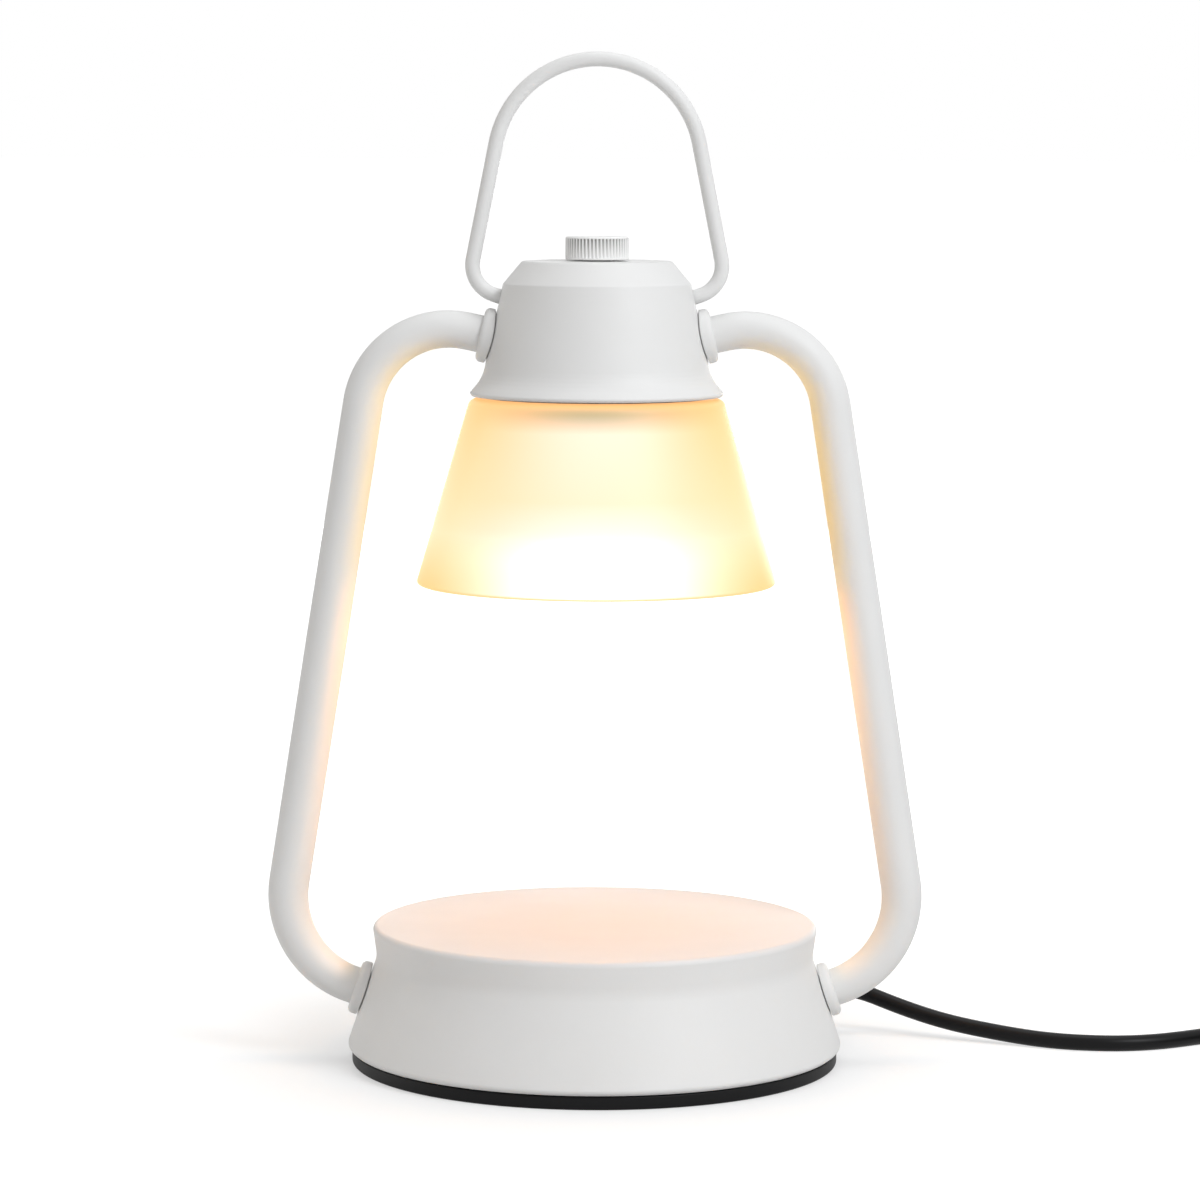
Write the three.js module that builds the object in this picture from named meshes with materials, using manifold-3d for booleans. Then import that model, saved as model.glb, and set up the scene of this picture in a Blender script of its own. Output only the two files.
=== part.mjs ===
// A candle warmer lamp: a lantern whose halogen bulb melts a jar candle from above.
// Lengths are in millimetres. +Z is up, +X is the lamp's right, +Y is its back.
// The origin is the centre of the foot ring, on the table.
import * as THREE from "three";
import { mergeVertices } from "three/addons/utils/BufferGeometryUtils.js";
import Module from "manifold-3d";

const wasm = await Module();
wasm.setup();

// Fits that every piece shares.
const GAP = 0.3; // between two pieces that touch
const OVERRUN = 3; // how far a cut runs past the face that it opens

// Base housing, from its corners before they are rounded.
const FOOT_H = 4;
const BASE_H = 42.3;
const BASE_TOP_R = 67.85;
const BASE_TOP_ROUND = 2.3;
const BASE_WAIST_R = 66.45;
const BASE_WAIST_DROP = 10;
const BASE_WAIST_ROUND = 8;
const BASE_LIP_R = 74;
const BASE_RIM_OUT = 1.4; // how far the rim stands out over the lip
const BASE_RIM_RISE = 1.1;
const BASE_RIM_ROUND = 2.4;
const BASE_WALL = 1.8;
const BASE_TOP_WALL = 2.2;
const FOOT_WIDTH = 8;
const FOOT_ROUND = 0.8;

// Bottom cover, ballast and what they carry.
const COVER_T = 1.2;
const POST_R = 4.5;
const POST_COUNT = 4;
const POST_CLEARANCE = 0.5; // between the posts and the cord clamp
const BALLAST_CLEARANCE = 5.5; // between the ballast and the posts
const BALLAST_T = 12;
const BOLT_R = 3;
const BOLT_HEAD_R = 5.5;
const SCREW_R = 1.6;
const SCREW_HEAD_R = 3.4;
const SCREW_HEAD_T = 1.8;
const SCREW_L = 14;
const BLOCK_X = 15;
const BLOCK_WIDTH = 16;
const BLOCK_L = 22;
const BLOCK_H = 12;
const BLOCK_SCREW_R = 2.2;
const BLOCK_SCREW_DEPTH = 5;

// Head housing, from its corners before they are rounded.
const CANDLE_ROOM = 104; // free height between the base and the shade
const SHADE_H = 56.2;
const SHADE_TOP_R = 38.3;
const SHADE_TOP_ROUND = 2.8;
const SHADE_BOTTOM_R = 54.6;
const SHADE_RIM_ROUND = 1.2;
const SHADE_T = 2.7;
const SHADE_HOLE_R = 20.5;
const HEAD_OVER_SHADE = 0.8;
const HEAD_H = 40.6;
const HEAD_TOP_R = 22.6;
const HEAD_TOP_ROUND = 1.2;
const HEAD_SHOULDER_R = 28.4;
const HEAD_SHOULDER_DROP = 6.9;
const HEAD_SHOULDER_ROUND = 0.9;
const HEAD_BELL_R = 34.6;
const HEAD_BELL_RISE = 5.3;
const HEAD_BELL_ROUND = 14;
const HEAD_RIM_R = 38.45;
const HEAD_RIM_RISE = 0.85;
const HEAD_RIM_ROUND = 0.8;
const HEAD_LIP_R = 37.75;
const HEAD_WALL = 1.5;
const HEAD_POST_R = 3.2;
const HEAD_POST_Y = 24;

// Arms: bent tubes with a threaded neck at each end.
const ARM_END_R = 5.65;
const ARM_LOW_BEND_TUBE_R = 6.05;
const ARM_STRAIGHT_R = 6.2;
const ARM_TOP_BEND_TUBE_R = 5.75;
const ARM_BORE_R = 3;
const ARM_NECK_R = 4;
const ARM_NECK_L = 7.4; // from the wall's outer face to the neck's end
const ARM_BASE_Z = 21.6;
const ARM_LOW_BEND_R = 29.3;
const ARM_HEAD_DROP = 22.8;
const ARM_HEAD_STRAIGHT = 3.7;
const ARM_TOP_BEND_R = 26.1;
const COLLAR_R = 8.3;
const COLLAR_T = 3.1;
const COLLAR_ROUND = 1.4;
const COLLAR_SEAT_DEPTH = 1.6;
const NUT_R = 7.2;
const NUT_T = 3.4;

// Carrying handle.
const BAIL_ROD_R = 2.25;
const BAIL_PIVOT_DROP = 11.05;
const BAIL_HOLE_CLEARANCE = 0.7;
const BAIL_ENTRY_TILT = THREE.MathUtils.degToRad(18);
const BAIL_LOW_BEND_R = 9.3;
const BAIL_TOP_BEND_R = 31.1;
const BAIL_H = 71.4; // from the pivot to the middle of the rod at the top
const BAIL_OUT = 2.7; // straight part on each side of the wall's middle
const BAIL_IN = 1;
const BAIL_HOOK_R = 6;
const BAIL_PIN_L = 3.4;
const BAIL_WASHER_R = 4;
const BAIL_WASHER_T = 0.8;

// Dimmer and its knob.
const KNOB_R = 9.63;
const KNOB_H = 7;
const KNOB_FLOAT = 0.4;
const KNOB_TOP_ROUND = 0.6;
const KNOB_BAND = 0.65;
const KNURL_COUNT = 52;
const KNURL_DEPTH = 0.5;
const KNOB_RECESS_R = 7.4;
const KNOB_RECESS_H = 3.8;
const SHAFT_R = 2.6;
const SHAFT_CLEARANCE = 0.3;
const SHAFT_CAP = 1;
const SHAFT_DEPTH = 6; // how far the shaft reaches below the top of the head
const BUSHING_R = 4;
const BUSHING_H = 3.3;
const DIMMER_R = 12;
const DIMMER_H = 10.5;
const DIMMER_NUT_R = 6.2;
const DIMMER_NUT_T = 2;
const DIMMER_WASHER_R = 6.8;
const DIMMER_WASHER_T = 0.5;

// Lamp holder and what clamps the glass.
const PLATE_T = 1.2;
const PLATE_R = 35;
const PLATE_SCREW_HEAD_R = 2.6;
const PLATE_SCREW_HEAD_T = 1.2;
const PLATE_SCREW_L = 9;
const GASKET_T = 1.2;
const GASKET_IN_R = 29;
const GASKET_OUT_R = 34.5;
const SLEEVE_R = 15.2;
const SLEEVE_WALL = 1.4;
const SLEEVE_BELOW = 10.6; // below the holder plate
const SLEEVE_FLANGE_R = 19;
const SLEEVE_FLANGE_T = 1.2;
const SLEEVE_CAP_T = 1.2;
const SLEEVE_CAP_HOLE_R = 5;
const SHADE_RING_R = 26.5;
const SHADE_RING_T = 4;
const HOLDER_H = 12;
const HOLDER_SCREW_R = 1.2;
const HOLDER_SCREW_HEAD_R = 2.4;
const HOLDER_SCREW_HEAD_T = 1.5;
const HOLDER_SCREW_L = 6;
const HOLDER_SCREW_Y = 8.6;

// Bulb.
const BULB_R = 25;
const BULB_RECESS = 19; // from the shade's rim up to the bulb's face
const BULB_CUP_H = 27;
const BULB_LIP_H = 3;
const BULB_NECK_R = 12.6;
const BULB_NECK_L = 18.7;
const BULB_CUP_T = 1.2;
const BULB_LENS_T = 2;
const BULB_PIN_X = 5;
const BULB_PIN_R = 1.5;
const BULB_PIN_HEAD_R = 2.5;
const BULB_PIN_L = 6.8;
const BULB_PIN_HEAD_L = 2.3;
const CAPSULE_R = 4.5;
const CAPSULE_L = 17;

// Leads and the cord inside the base.
const LEAD_R = 1.5;
const LEAD_STEPS = 36;
const CLAMP_CLEARANCE = 1.3; // between the boot and the clamp
const CLAMP_DEPTH = 10;
const CLAMP_WIDTH = 17;
const CLAMP_OVER = 4;

// Mains cord. Its route is chosen by hand, from the wall of the base to the coil.
const CORD_R = 2.5;
const CORD_EXIT_Z = 14.5;
const CORD_EXIT_TURN = THREE.MathUtils.degToRad(30);
const BOOT_L = 20;
const BOOT_ROOT_R = 4.5;
const BOOT_TIP_R = 3.1;
const BOOT_FLANGE_R = 6.4;
const BOOT_FLANGE_T = 1.8;
const CORD_ROUTE = [
  [62.7, 36.2, 14.5],
  [67.5, 39.0, 14.5],
  [72.3, 41.7, 14.4],
  [77.1, 43.7, 14.0],
  [82.3, 44.4, 13.2],
  [86.5, 43.9, 12.1],
  [90.4, 42.6, 10.8],
  [100.0, 38.3, 7.9],
  [111.0, 33.3, 5.4],
  [123.0, 27.7, 3.8],
  [136.0, 21.8, 2.7],
  [144.0, 18.2, 2.5],
  [151.0, 16.0, 2.5],
  [157.5, 15.0, 2.5],
  [164.0, 15.1, 2.5],
  [176.0, 18.5, 2.5],
  [189.1, 26.3, 2.5],
  [200.0, 32.6, 2.5],
  [212.0, 37.5, 2.6],
  [223.0, 40.3, 3.2],
  [229.5, 41.1, 3.6],
  [234.7, 41.1, 3.6],
];
const CORD_STEPS = 30;
const COIL_X = 240;
const COIL_Y = 0;
const COIL_IN_R = 20.5;
const COIL_PITCH = 5.5;
const COIL_TURNS_IN = 3.75;
const COIL_TURNS_OUT = 3 + 11 / 12;
const COIL_LOOP_STEPS = 24;
const COIL_SIDES = 6;
const COIL_LIFT = 1.1;
const COIL_DIP = 1.2;
const TIE_T = 0.8;
const TIE_WIDTH = 9;
const TAIL_L = 32;
const TAIL_STEPS = 10;
const PLUG_L = 36;
const PLUG_THICK = 13.6;
const PLUG_WIDTH = 34;
const PLUG_NOSE_WIDTH = 11;
const PLUG_PIN_R = 2;
const PLUG_PIN_L = 19;
const PLUG_PIN_SPREAD = 9.5;

// How finely the round shapes are cut.
const ROUND = 40;
const SMALL_ROUND = 10;
const SCREW_ROUND = 8;
const ARC_STEP = THREE.MathUtils.degToRad(46);
const BEND_STEP = THREE.MathUtils.degToRad(15);

// Heights that follow from the sizes above.
const LIP_Z = FOOT_H + GAP;
const COVER_Z = LIP_Z;
const COVER_TOP_Z = COVER_Z + COVER_T;
const BASE_CEILING_Z = BASE_H - BASE_TOP_WALL;
const BALLAST_Z = COVER_TOP_Z + GAP;
const BALLAST_TOP_Z = BALLAST_Z + BALLAST_T;
const BLOCK_Z = BALLAST_TOP_Z + GAP;
const WIRE_Z = BLOCK_Z + BLOCK_H / 2;
const SHADE_Z = BASE_H + CANDLE_ROOM;
const SHADE_TOP_Z = SHADE_Z + SHADE_H;
const GASKET_Z = SHADE_TOP_Z + GAP;
const PLATE_Z = GASKET_Z + GASKET_T + GAP;
const PLATE_TOP_Z = PLATE_Z + PLATE_T;
const HEAD_Z = SHADE_TOP_Z + HEAD_OVER_SHADE;
const HEAD_TOP_Z = HEAD_Z + HEAD_H;
const HEAD_CEILING_Z = HEAD_TOP_Z - HEAD_WALL;
const DIMMER_TOP_Z = HEAD_CEILING_Z - GAP;
const DIMMER_Z = DIMMER_TOP_Z - DIMMER_H;
const BULB_Z = SHADE_Z + BULB_RECESS;
const BULB_NECK_Z = BULB_Z + BULB_CUP_H;
const BULB_NECK_TOP_Z = BULB_NECK_Z + BULB_NECK_L;
const HOLDER_Z = BULB_NECK_TOP_Z + GAP;
const HOLDER_TOP_Z = HOLDER_Z + HOLDER_H;
const SLEEVE_CAP_Z = HOLDER_TOP_Z + GAP;
const SLEEVE_TOP_Z = SLEEVE_CAP_Z + SLEEVE_CAP_T;
const PIVOT_Z = HEAD_TOP_Z - BAIL_PIVOT_DROP;

const material = (color, roughness, metalness = 0) =>
  new THREE.MeshStandardMaterial({ color, roughness, metalness });
const whitePaint = material(0xe8e8e8, 0.62);
const blackRubber = material(0x202020, 0.7);
const blackPlastic = material(0x1c1c1c, 0.5);
const castIron = material(0x4a4a4c, 0.7, 0.8);
const zincSteel = material(0xb9bcc0, 0.35, 1);
const brassMetal = material(0xc9a35a, 0.35, 1);
const nylon = material(0xdedbd2, 0.55);
const ceramic = material(0xf0ece2, 0.4);
const silicone = material(0xd8d6d0, 0.8);
const mirrorCoat = material(0xd9dde2, 0.12, 1);
const clearGlass = material(0xfff2d8, 0.05);
const frostedGlass = material(0xffe9bd, 0.55);
frostedGlass.transparent = true;
frostedGlass.opacity = 0.8;

const lamp = new THREE.Group();

function add(name, geometry, finish, parent = lamp) {
  const mesh = new THREE.Mesh(geometry, finish);
  mesh.name = name;
  parent.add(mesh);
  return mesh;
}

// A closed geometry as a solid that can be joined and cut.
function solidOf(geometry) {
  const bare = geometry.clone();
  bare.deleteAttribute("normal");
  bare.deleteAttribute("uv");
  const merged = mergeVertices(bare);
  const vertProperties = merged.attributes.position.array;
  const triVerts = new Uint32Array(merged.index.array);
  return new wasm.Manifold(new wasm.Mesh({ numProp: 3, vertProperties, triVerts }));
}

function geometryOf(solid) {
  const mesh = solid.getMesh();
  const positions = new THREE.BufferAttribute(new Float32Array(mesh.vertProperties), 3);
  const faces = new THREE.BufferAttribute(new Uint32Array(mesh.triVerts), 1);
  return new THREE.BufferGeometry().setAttribute("position", positions).setIndex(faces);
}

const join = (first, ...others) =>
  geometryOf(others.reduce((whole, other) => whole.add(solidOf(other)), solidOf(first)));

const cut = (first, ...tools) =>
  geometryOf(tools.reduce((rest, tool) => rest.subtract(solidOf(tool)), solidOf(first)));

// Corners [x, y, round], joined by straight lines, each corner eased by its arc.
function rounded(corners, closed = true) {
  const points = [];
  corners.forEach(([x, y, round = 0], i) => {
    const here = new THREE.Vector2(x, y);
    if (!round || (!closed && (i === 0 || i === corners.length - 1))) {
      points.push(here);
      return;
    }
    const before = new THREE.Vector2(...corners.at(i - 1)).sub(here);
    const after = new THREE.Vector2(...corners[(i + 1) % corners.length]).sub(here);
    const half = before.angleTo(after) / 2;
    const room = Math.min(before.length(), after.length()) / 2;
    const reach = Math.min(round / Math.tan(half), room);
    const radius = reach * Math.tan(half);
    const toCentre = before.clone().normalize().add(after.clone().normalize()).normalize();
    const centre = here.clone().addScaledVector(toCentre, radius / Math.sin(half));
    const start = here.clone().addScaledVector(before.normalize(), reach).sub(centre);
    const end = here.clone().addScaledVector(after.normalize(), reach).sub(centre);
    const turn = Math.atan2(start.cross(end), start.dot(end));
    const steps = Math.ceil(Math.abs(turn) / ARC_STEP);
    for (let k = 0; k <= steps; k++) {
      const zero = new THREE.Vector2();
      points.push(start.clone().rotateAround(zero, (turn * k) / steps).add(centre));
    }
  });
  return points;
}

// Where the line from p along d meets the line from q along e.
function meet(p, d, q, e) {
  const along = q.clone().sub(p).cross(e) / d.cross(e);
  return p.clone().addScaledVector(d, along);
}

// An open line of corners moved to its left, each edge by its own wall.
// The first corner keeps its height and the last its distance from the axis.
function inset(corners, walls) {
  const level = new THREE.Vector2(1, 0);
  const upright = new THREE.Vector2(0, 1);
  const edges = walls.map((wall, i) => {
    const from = new THREE.Vector2(...corners[i]);
    const along = new THREE.Vector2(...corners[i + 1]).sub(from).normalize();
    const left = new THREE.Vector2(-along.y, along.x);
    return { from: from.addScaledVector(left, wall), along, wall };
  });
  const moved = corners.map(([x, y, round = 0], i) => {
    const here = new THREE.Vector2(x, y);
    const before = edges[i - 1];
    const after = edges[i];
    if (!before) return [...meet(after.from, after.along, here, level), 0];
    if (!after) return [...meet(before.from, before.along, here, upright), 0];
    const convex = before.along.cross(after.along) > 0;
    const inner = convex ? Math.max(round - after.wall, 0) : round + after.wall;
    return [...meet(before.from, before.along, after.from, after.along), inner];
  });
  return moved;
}

// A profile of (distance from the axis, height) points, turned about the Z axis.
function turned(points, segments = ROUND) {
  const first = points[0];
  const last = points.at(-1);
  const onAxis = first.x === 0 && last.x === 0;
  const profile = onAxis ? points : [...points, first];
  return new THREE.LatheGeometry(profile, segments).rotateX(Math.PI / 2);
}

const disc = (r, low, high, segments = SMALL_ROUND) =>
  turned(
    [
      [0, low],
      [r, low],
      [r, high],
      [0, high],
    ].map((p) => new THREE.Vector2(...p)),
    segments,
  );

const washer = (inR, outR, low, high, round = 0, segments = SMALL_ROUND) =>
  turned(
    rounded([
      [inR, low],
      [outR, low, round],
      [outR, high, round],
      [inR, high],
    ]),
    segments,
  );

// The straight piece of an outline that reaches from below a height to above it.
function pieceAt(outline, z) {
  const i = outline.findIndex((p, k) => k > 0 && outline[k - 1].y <= z && z <= p.y);
  return [outline[i - 1], outline[i]];
}

// The distance from the axis of an outline at a height.
function wallAt(outline, z) {
  const [a, b] = pieceAt(outline, z);
  return a.x + ((b.x - a.x) * (z - a.y)) / (b.y - a.y);
}

// How far an outline leans in at a height, from upright.
function tiltAt(outline, z) {
  const [a, b] = pieceAt(outline, z);
  return Math.atan2(a.x - b.x, b.y - a.y);
}

// How far a flat face of radius r stands off the inside or outside of a round wall.
const sagitta = (r, wallR) => wallR - Math.sqrt(wallR * wallR - r * r);

// A round tube through stations {point, along, radius}, closed at both ends.
// A list of radii goes round the tube in turn, which makes ridges.
function tube(stations, sides, reference) {
  const positions = [];
  stations.forEach(({ point, along, radius }) => {
    const side = reference.clone().cross(along).normalize();
    const up = along.clone().cross(side);
    for (let k = 0; k < sides; k++) {
      const angle = (2 * Math.PI * k) / sides;
      const spoke = side.clone().multiplyScalar(Math.cos(angle));
      spoke.addScaledVector(up, Math.sin(angle));
      const reach = Array.isArray(radius) ? radius[k % radius.length] : radius;
      positions.push(...point.clone().addScaledVector(spoke, reach));
    }
  });
  const faces = [];
  for (let i = 0; i + 1 < stations.length; i++) {
    for (let k = 0; k < sides; k++) {
      const a = i * sides + k;
      const b = i * sides + ((k + 1) % sides);
      faces.push(a, b, b + sides, a, b + sides, a + sides);
    }
  }
  const last = (stations.length - 1) * sides;
  for (let k = 1; k + 1 < sides; k++) {
    faces.push(0, k + 1, k, last, last + k, last + k + 1);
  }
  return new THREE.BufferGeometry()
    .setAttribute("position", new THREE.Float32BufferAttribute(positions, 3))
    .setIndex(faces);
}

// A round bar of one thickness along a smooth curve.
function bar(curve, radius, steps, sides = 8) {
  const outline = Array.from({ length: sides }, (_, k) => {
    const angle = (2 * Math.PI * k) / sides;
    return new THREE.Vector2(radius * Math.cos(angle), radius * Math.sin(angle));
  });
  const settings = { steps, extrudePath: curve, bevelEnabled: false };
  return new THREE.ExtrudeGeometry(new THREE.Shape(outline), settings);
}

const smooth = (points) => new THREE.CatmullRomCurve3(points, false, "centripetal");

// A pan-head screw on the Z axis: its head lies below z, its shank goes up.
function screw(headR, headT, shankR, shankL, z) {
  return turned(
    [
      [0, z - headT],
      [headR - headT / 2, z - headT],
      [headR, z - headT / 2],
      [headR, z],
      [shankR, z],
      [shankR, z + shankL],
      [0, z + shankL],
    ].map((p) => new THREE.Vector2(...p)),
    SCREW_ROUND,
  );
}

const moved = (geometry, x, y, z = 0) => geometry.clone().translate(x, y, z);

// Base housing.
const flareCorner = [BASE_LIP_R + BASE_RIM_OUT, LIP_Z + BASE_RIM_RISE, BASE_RIM_ROUND];
const waistCorner = [BASE_WAIST_R, BASE_H - BASE_WAIST_DROP, BASE_WAIST_ROUND];
const topCorner = [BASE_TOP_R, BASE_H, BASE_TOP_ROUND];
const baseCorners = [[BASE_LIP_R, LIP_Z], flareCorner, waistCorner, topCorner, [0, BASE_H]];
const baseOutline = rounded(baseCorners, false);
const baseSkirt = [flareCorner, waistCorner, topCorner, [0, BASE_H]];
const baseInside = inset(baseSkirt, [BASE_WALL, BASE_WALL, BASE_TOP_WALL]);
const plain = ([x, y]) => new THREE.Vector2(x, y);
const baseInnerOutline = [[baseInside[0][0], LIP_Z], ...baseInside].map(plain);
const baseGrown = turned([
  new THREE.Vector2(0, LIP_Z),
  ...rounded(inset(baseCorners, [-GAP, -GAP, -GAP, -GAP]), false),
]);

// From the wall inwards: the boot's inner shoulder, the clamp, the posts and the ballast.
const cordWallR = wallAt(baseOutline, CORD_EXIT_Z);
const bootInnerR = cordWallR - OVERRUN * 2 - BOOT_FLANGE_T - GAP;
const clampCircleR = bootInnerR - CLAMP_CLEARANCE - CLAMP_DEPTH / 2;
const postCircleR = clampCircleR - CLAMP_DEPTH / 2 - POST_CLEARANCE - POST_R;
const ballastR = postCircleR - POST_R - BALLAST_CLEARANCE;

const postPlaces = Array.from({ length: POST_COUNT }, (_, i) => {
  const angle = (2 * Math.PI * (i + 1 / 2)) / POST_COUNT;
  return [postCircleR * Math.cos(angle), postCircleR * Math.sin(angle)];
});

// A frame whose +Z is the arm's axis where it leaves a housing, with its origin on the wall.
function seatMatrix(x, z, tilt) {
  return new THREE.Matrix4().makeRotationY(Math.PI / 2 - tilt).setPosition(x, 0, z);
}

const armBaseX = wallAt(baseOutline, ARM_BASE_Z);
const armBaseTilt = tiltAt(baseOutline, ARM_BASE_Z);
const armBaseSeat = seatMatrix(armBaseX, ARM_BASE_Z, armBaseTilt);
const halfTurn = new THREE.Matrix4().makeRotationZ(Math.PI);
const cordTurn = new THREE.Matrix4().makeRotationZ(CORD_EXIT_TURN);

function armHoles(seat) {
  const hole = disc(ARM_NECK_R + GAP, -ARM_NECK_L, OVERRUN).applyMatrix4(seat);
  return [hole, hole.clone().applyMatrix4(halfTurn)];
}

// A bar along +X at the cord's height, turned to where the cord leaves.
function towardsCord(geometry) {
  return geometry
    .clone()
    .rotateY(Math.PI / 2)
    .translate(0, 0, CORD_EXIT_Z)
    .applyMatrix4(cordTurn);
}

function baseShell() {
  const shell = turned([...baseInnerOutline.toReversed(), ...baseOutline]);
  const postTop = BASE_CEILING_Z + BASE_TOP_WALL / 2;
  const posts = postPlaces.map(([x, y]) => moved(disc(POST_R, COVER_TOP_Z + GAP, postTop), x, y));
  const threads = postPlaces.map(([x, y]) =>
    moved(disc(SCREW_R + GAP, COVER_Z, COVER_Z + SCREW_L + OVERRUN, SCREW_ROUND), x, y),
  );
  const cordHole = towardsCord(disc(BOOT_ROOT_R + GAP, cordWallR - OVERRUN * 2, cordWallR + OVERRUN));
  return cut(join(shell, ...posts), ...threads, ...armHoles(armBaseSeat), cordHole);
}

add("base_shell", baseShell(), whitePaint);

const foot = washer(BASE_LIP_R - FOOT_WIDTH, BASE_LIP_R, 0, FOOT_H, FOOT_ROUND, ROUND);
add("foot_ring", foot, blackRubber);

const coverR = baseInside[0][0] - GAP;
const coverHoles = postPlaces.map(([x, y]) =>
  moved(disc(SCREW_R + GAP, COVER_Z - OVERRUN, COVER_TOP_Z + OVERRUN, SCREW_ROUND), x, y),
);
const boltHole = disc(BOLT_R + GAP, COVER_Z - OVERRUN, BALLAST_TOP_Z + OVERRUN);
add("base_plate", cut(disc(coverR, COVER_Z, COVER_TOP_Z, ROUND), ...coverHoles, boltHole), zincSteel);
const baseScrew = screw(SCREW_HEAD_R, SCREW_HEAD_T, SCREW_R, SCREW_L, COVER_Z - GAP);
postPlaces.forEach(([x, y], i) => {
  add(`base_screw_${i + 1}`, baseScrew, zincSteel).position.set(x, y, 0);
});

const ballast = washer(BOLT_R + GAP, ballastR, BALLAST_Z, BALLAST_TOP_Z, 0, ROUND / 2);
add("base_weight", ballast, castIron);
const weightBolt = screw(BOLT_HEAD_R, SCREW_HEAD_T, BOLT_R, BALLAST_TOP_Z - COVER_Z, COVER_Z - GAP);
add("weight_bolt", weightBolt, zincSteel);

// Terminal block on the ballast.
const terminalPlaces = [-BLOCK_L / 4, BLOCK_L / 4];
const blockBody = new THREE.BoxGeometry(BLOCK_WIDTH, BLOCK_L, BLOCK_H);
blockBody.translate(BLOCK_X, 0, BLOCK_Z + BLOCK_H / 2);
const blockTopZ = BLOCK_Z + BLOCK_H;
const terminalHole = disc(BLOCK_SCREW_R + GAP, blockTopZ - BLOCK_SCREW_DEPTH - GAP, blockTopZ + OVERRUN);
add(
  "terminal_block",
  cut(blockBody, ...terminalPlaces.map((y) => moved(terminalHole, BLOCK_X, y))),
  nylon,
);
const terminalScrew = disc(BLOCK_SCREW_R, blockTopZ - BLOCK_SCREW_DEPTH, blockTopZ, SCREW_ROUND);
terminalPlaces.forEach((y, i) => {
  add(`terminal_screw_${i + 1}`, terminalScrew, brassMetal).position.set(BLOCK_X, y, 0);
});

// Foot of the cord: clamp, boot and the stretch inside the base.
const clampFloor = COVER_TOP_Z + GAP;
const clampTop = CORD_EXIT_Z + CORD_R + CLAMP_OVER;
const clampBody = new THREE.BoxGeometry(CLAMP_DEPTH, CLAMP_WIDTH, clampTop - clampFloor);
clampBody.translate(clampCircleR, 0, (clampTop + clampFloor) / 2).applyMatrix4(cordTurn);
const clampBore = towardsCord(disc(CORD_R + GAP, clampCircleR - CLAMP_DEPTH, clampCircleR + CLAMP_DEPTH));
const clampScrewY = (CORD_R + GAP + CLAMP_WIDTH / 2) / 2;
const clampThread = disc(SCREW_R + GAP, clampFloor - OVERRUN, clampTop + OVERRUN, SCREW_ROUND);
const clampThreads = [-clampScrewY, clampScrewY].map((y) =>
  moved(clampThread, clampCircleR, y).applyMatrix4(cordTurn),
);
add("cord_clamp", cut(clampBody, clampBore, ...clampThreads), nylon);
const clampScrew = screw(SCREW_HEAD_R - GAP, SCREW_HEAD_T, SCREW_R, SCREW_L, 0);
clampScrew.rotateX(Math.PI).translate(0, 0, clampTop + GAP);
[-clampScrewY, clampScrewY].forEach((y, i) => {
  const placed = moved(clampScrew, clampCircleR, y).applyMatrix4(cordTurn);
  add(`clamp_screw_${i + 1}`, placed, zincSteel);
});

const vector = ([x, y, z]) => new THREE.Vector3(x, y, z);
const cordCurve = smooth(CORD_ROUTE.map(vector));
const cordLength = cordCurve.getLength();
const cordStart = BOOT_L + GAP;

// The stretch of a curve between two distances along it, as a curve of its own.
function stretch(curve, from, to, count) {
  const long = curve.getLength();
  const points = Array.from({ length: count + 1 }, (_, i) =>
    curve.getPointAt((from + ((to - from) * i) / count) / long),
  );
  return smooth(points);
}

// Moulded boot: a shank in the wall, a shoulder on each side of it and a tapered tail.
function strainRelief() {
  const shoulder = cordWallR - OVERRUN * 2;
  const shank = towardsCord(disc(BOOT_ROOT_R, shoulder - BOOT_FLANGE_T, cordWallR + OVERRUN));
  const inner = towardsCord(disc(BOOT_FLANGE_R, shoulder - BOOT_FLANGE_T, shoulder));
  const outer = towardsCord(
    disc(BOOT_FLANGE_R, cordWallR - BOOT_FLANGE_T, cordWallR + BOOT_FLANGE_T),
  );
  const tailCurve = stretch(cordCurve, 0, BOOT_L, 8);
  const tail = tube(
    Array.from({ length: 9 }, (_, i) => ({
      point: tailCurve.getPointAt(i / 8),
      along: tailCurve.getTangentAt(i / 8),
      radius: THREE.MathUtils.lerp(BOOT_ROOT_R, BOOT_TIP_R, i / 8),
    })),
    SMALL_ROUND,
    new THREE.Vector3(0, 0, 1),
  );
  return join(shank, inner, cut(outer, baseGrown), tail);
}

add("strain_relief", strainRelief(), blackRubber);

const blockBackY = BLOCK_L / 2 + GAP;
const innerCordCurve = smooth([
  vector([bootInnerR, 0, CORD_EXIT_Z]).applyMatrix4(cordTurn),
  vector([clampCircleR, 0, CORD_EXIT_Z]).applyMatrix4(cordTurn),
  vector([clampCircleR - CLAMP_DEPTH / 2, 0, CORD_EXIT_Z]).applyMatrix4(cordTurn),
  vector([clampCircleR - CLAMP_DEPTH, 0, CORD_EXIT_Z + GAP]).applyMatrix4(cordTurn),
  new THREE.Vector3(ballastR * 0.8, blockBackY * 2, WIRE_Z - CORD_R),
  new THREE.Vector3(BLOCK_X + CORD_R, blockBackY * 1.8, WIRE_Z),
  new THREE.Vector3(BLOCK_X, blockBackY * 1.4, WIRE_Z),
  new THREE.Vector3(BLOCK_X, blockBackY, WIRE_Z),
]);
add("inner_cord", bar(innerCordCurve, CORD_R, 12), blackRubber);

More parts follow.
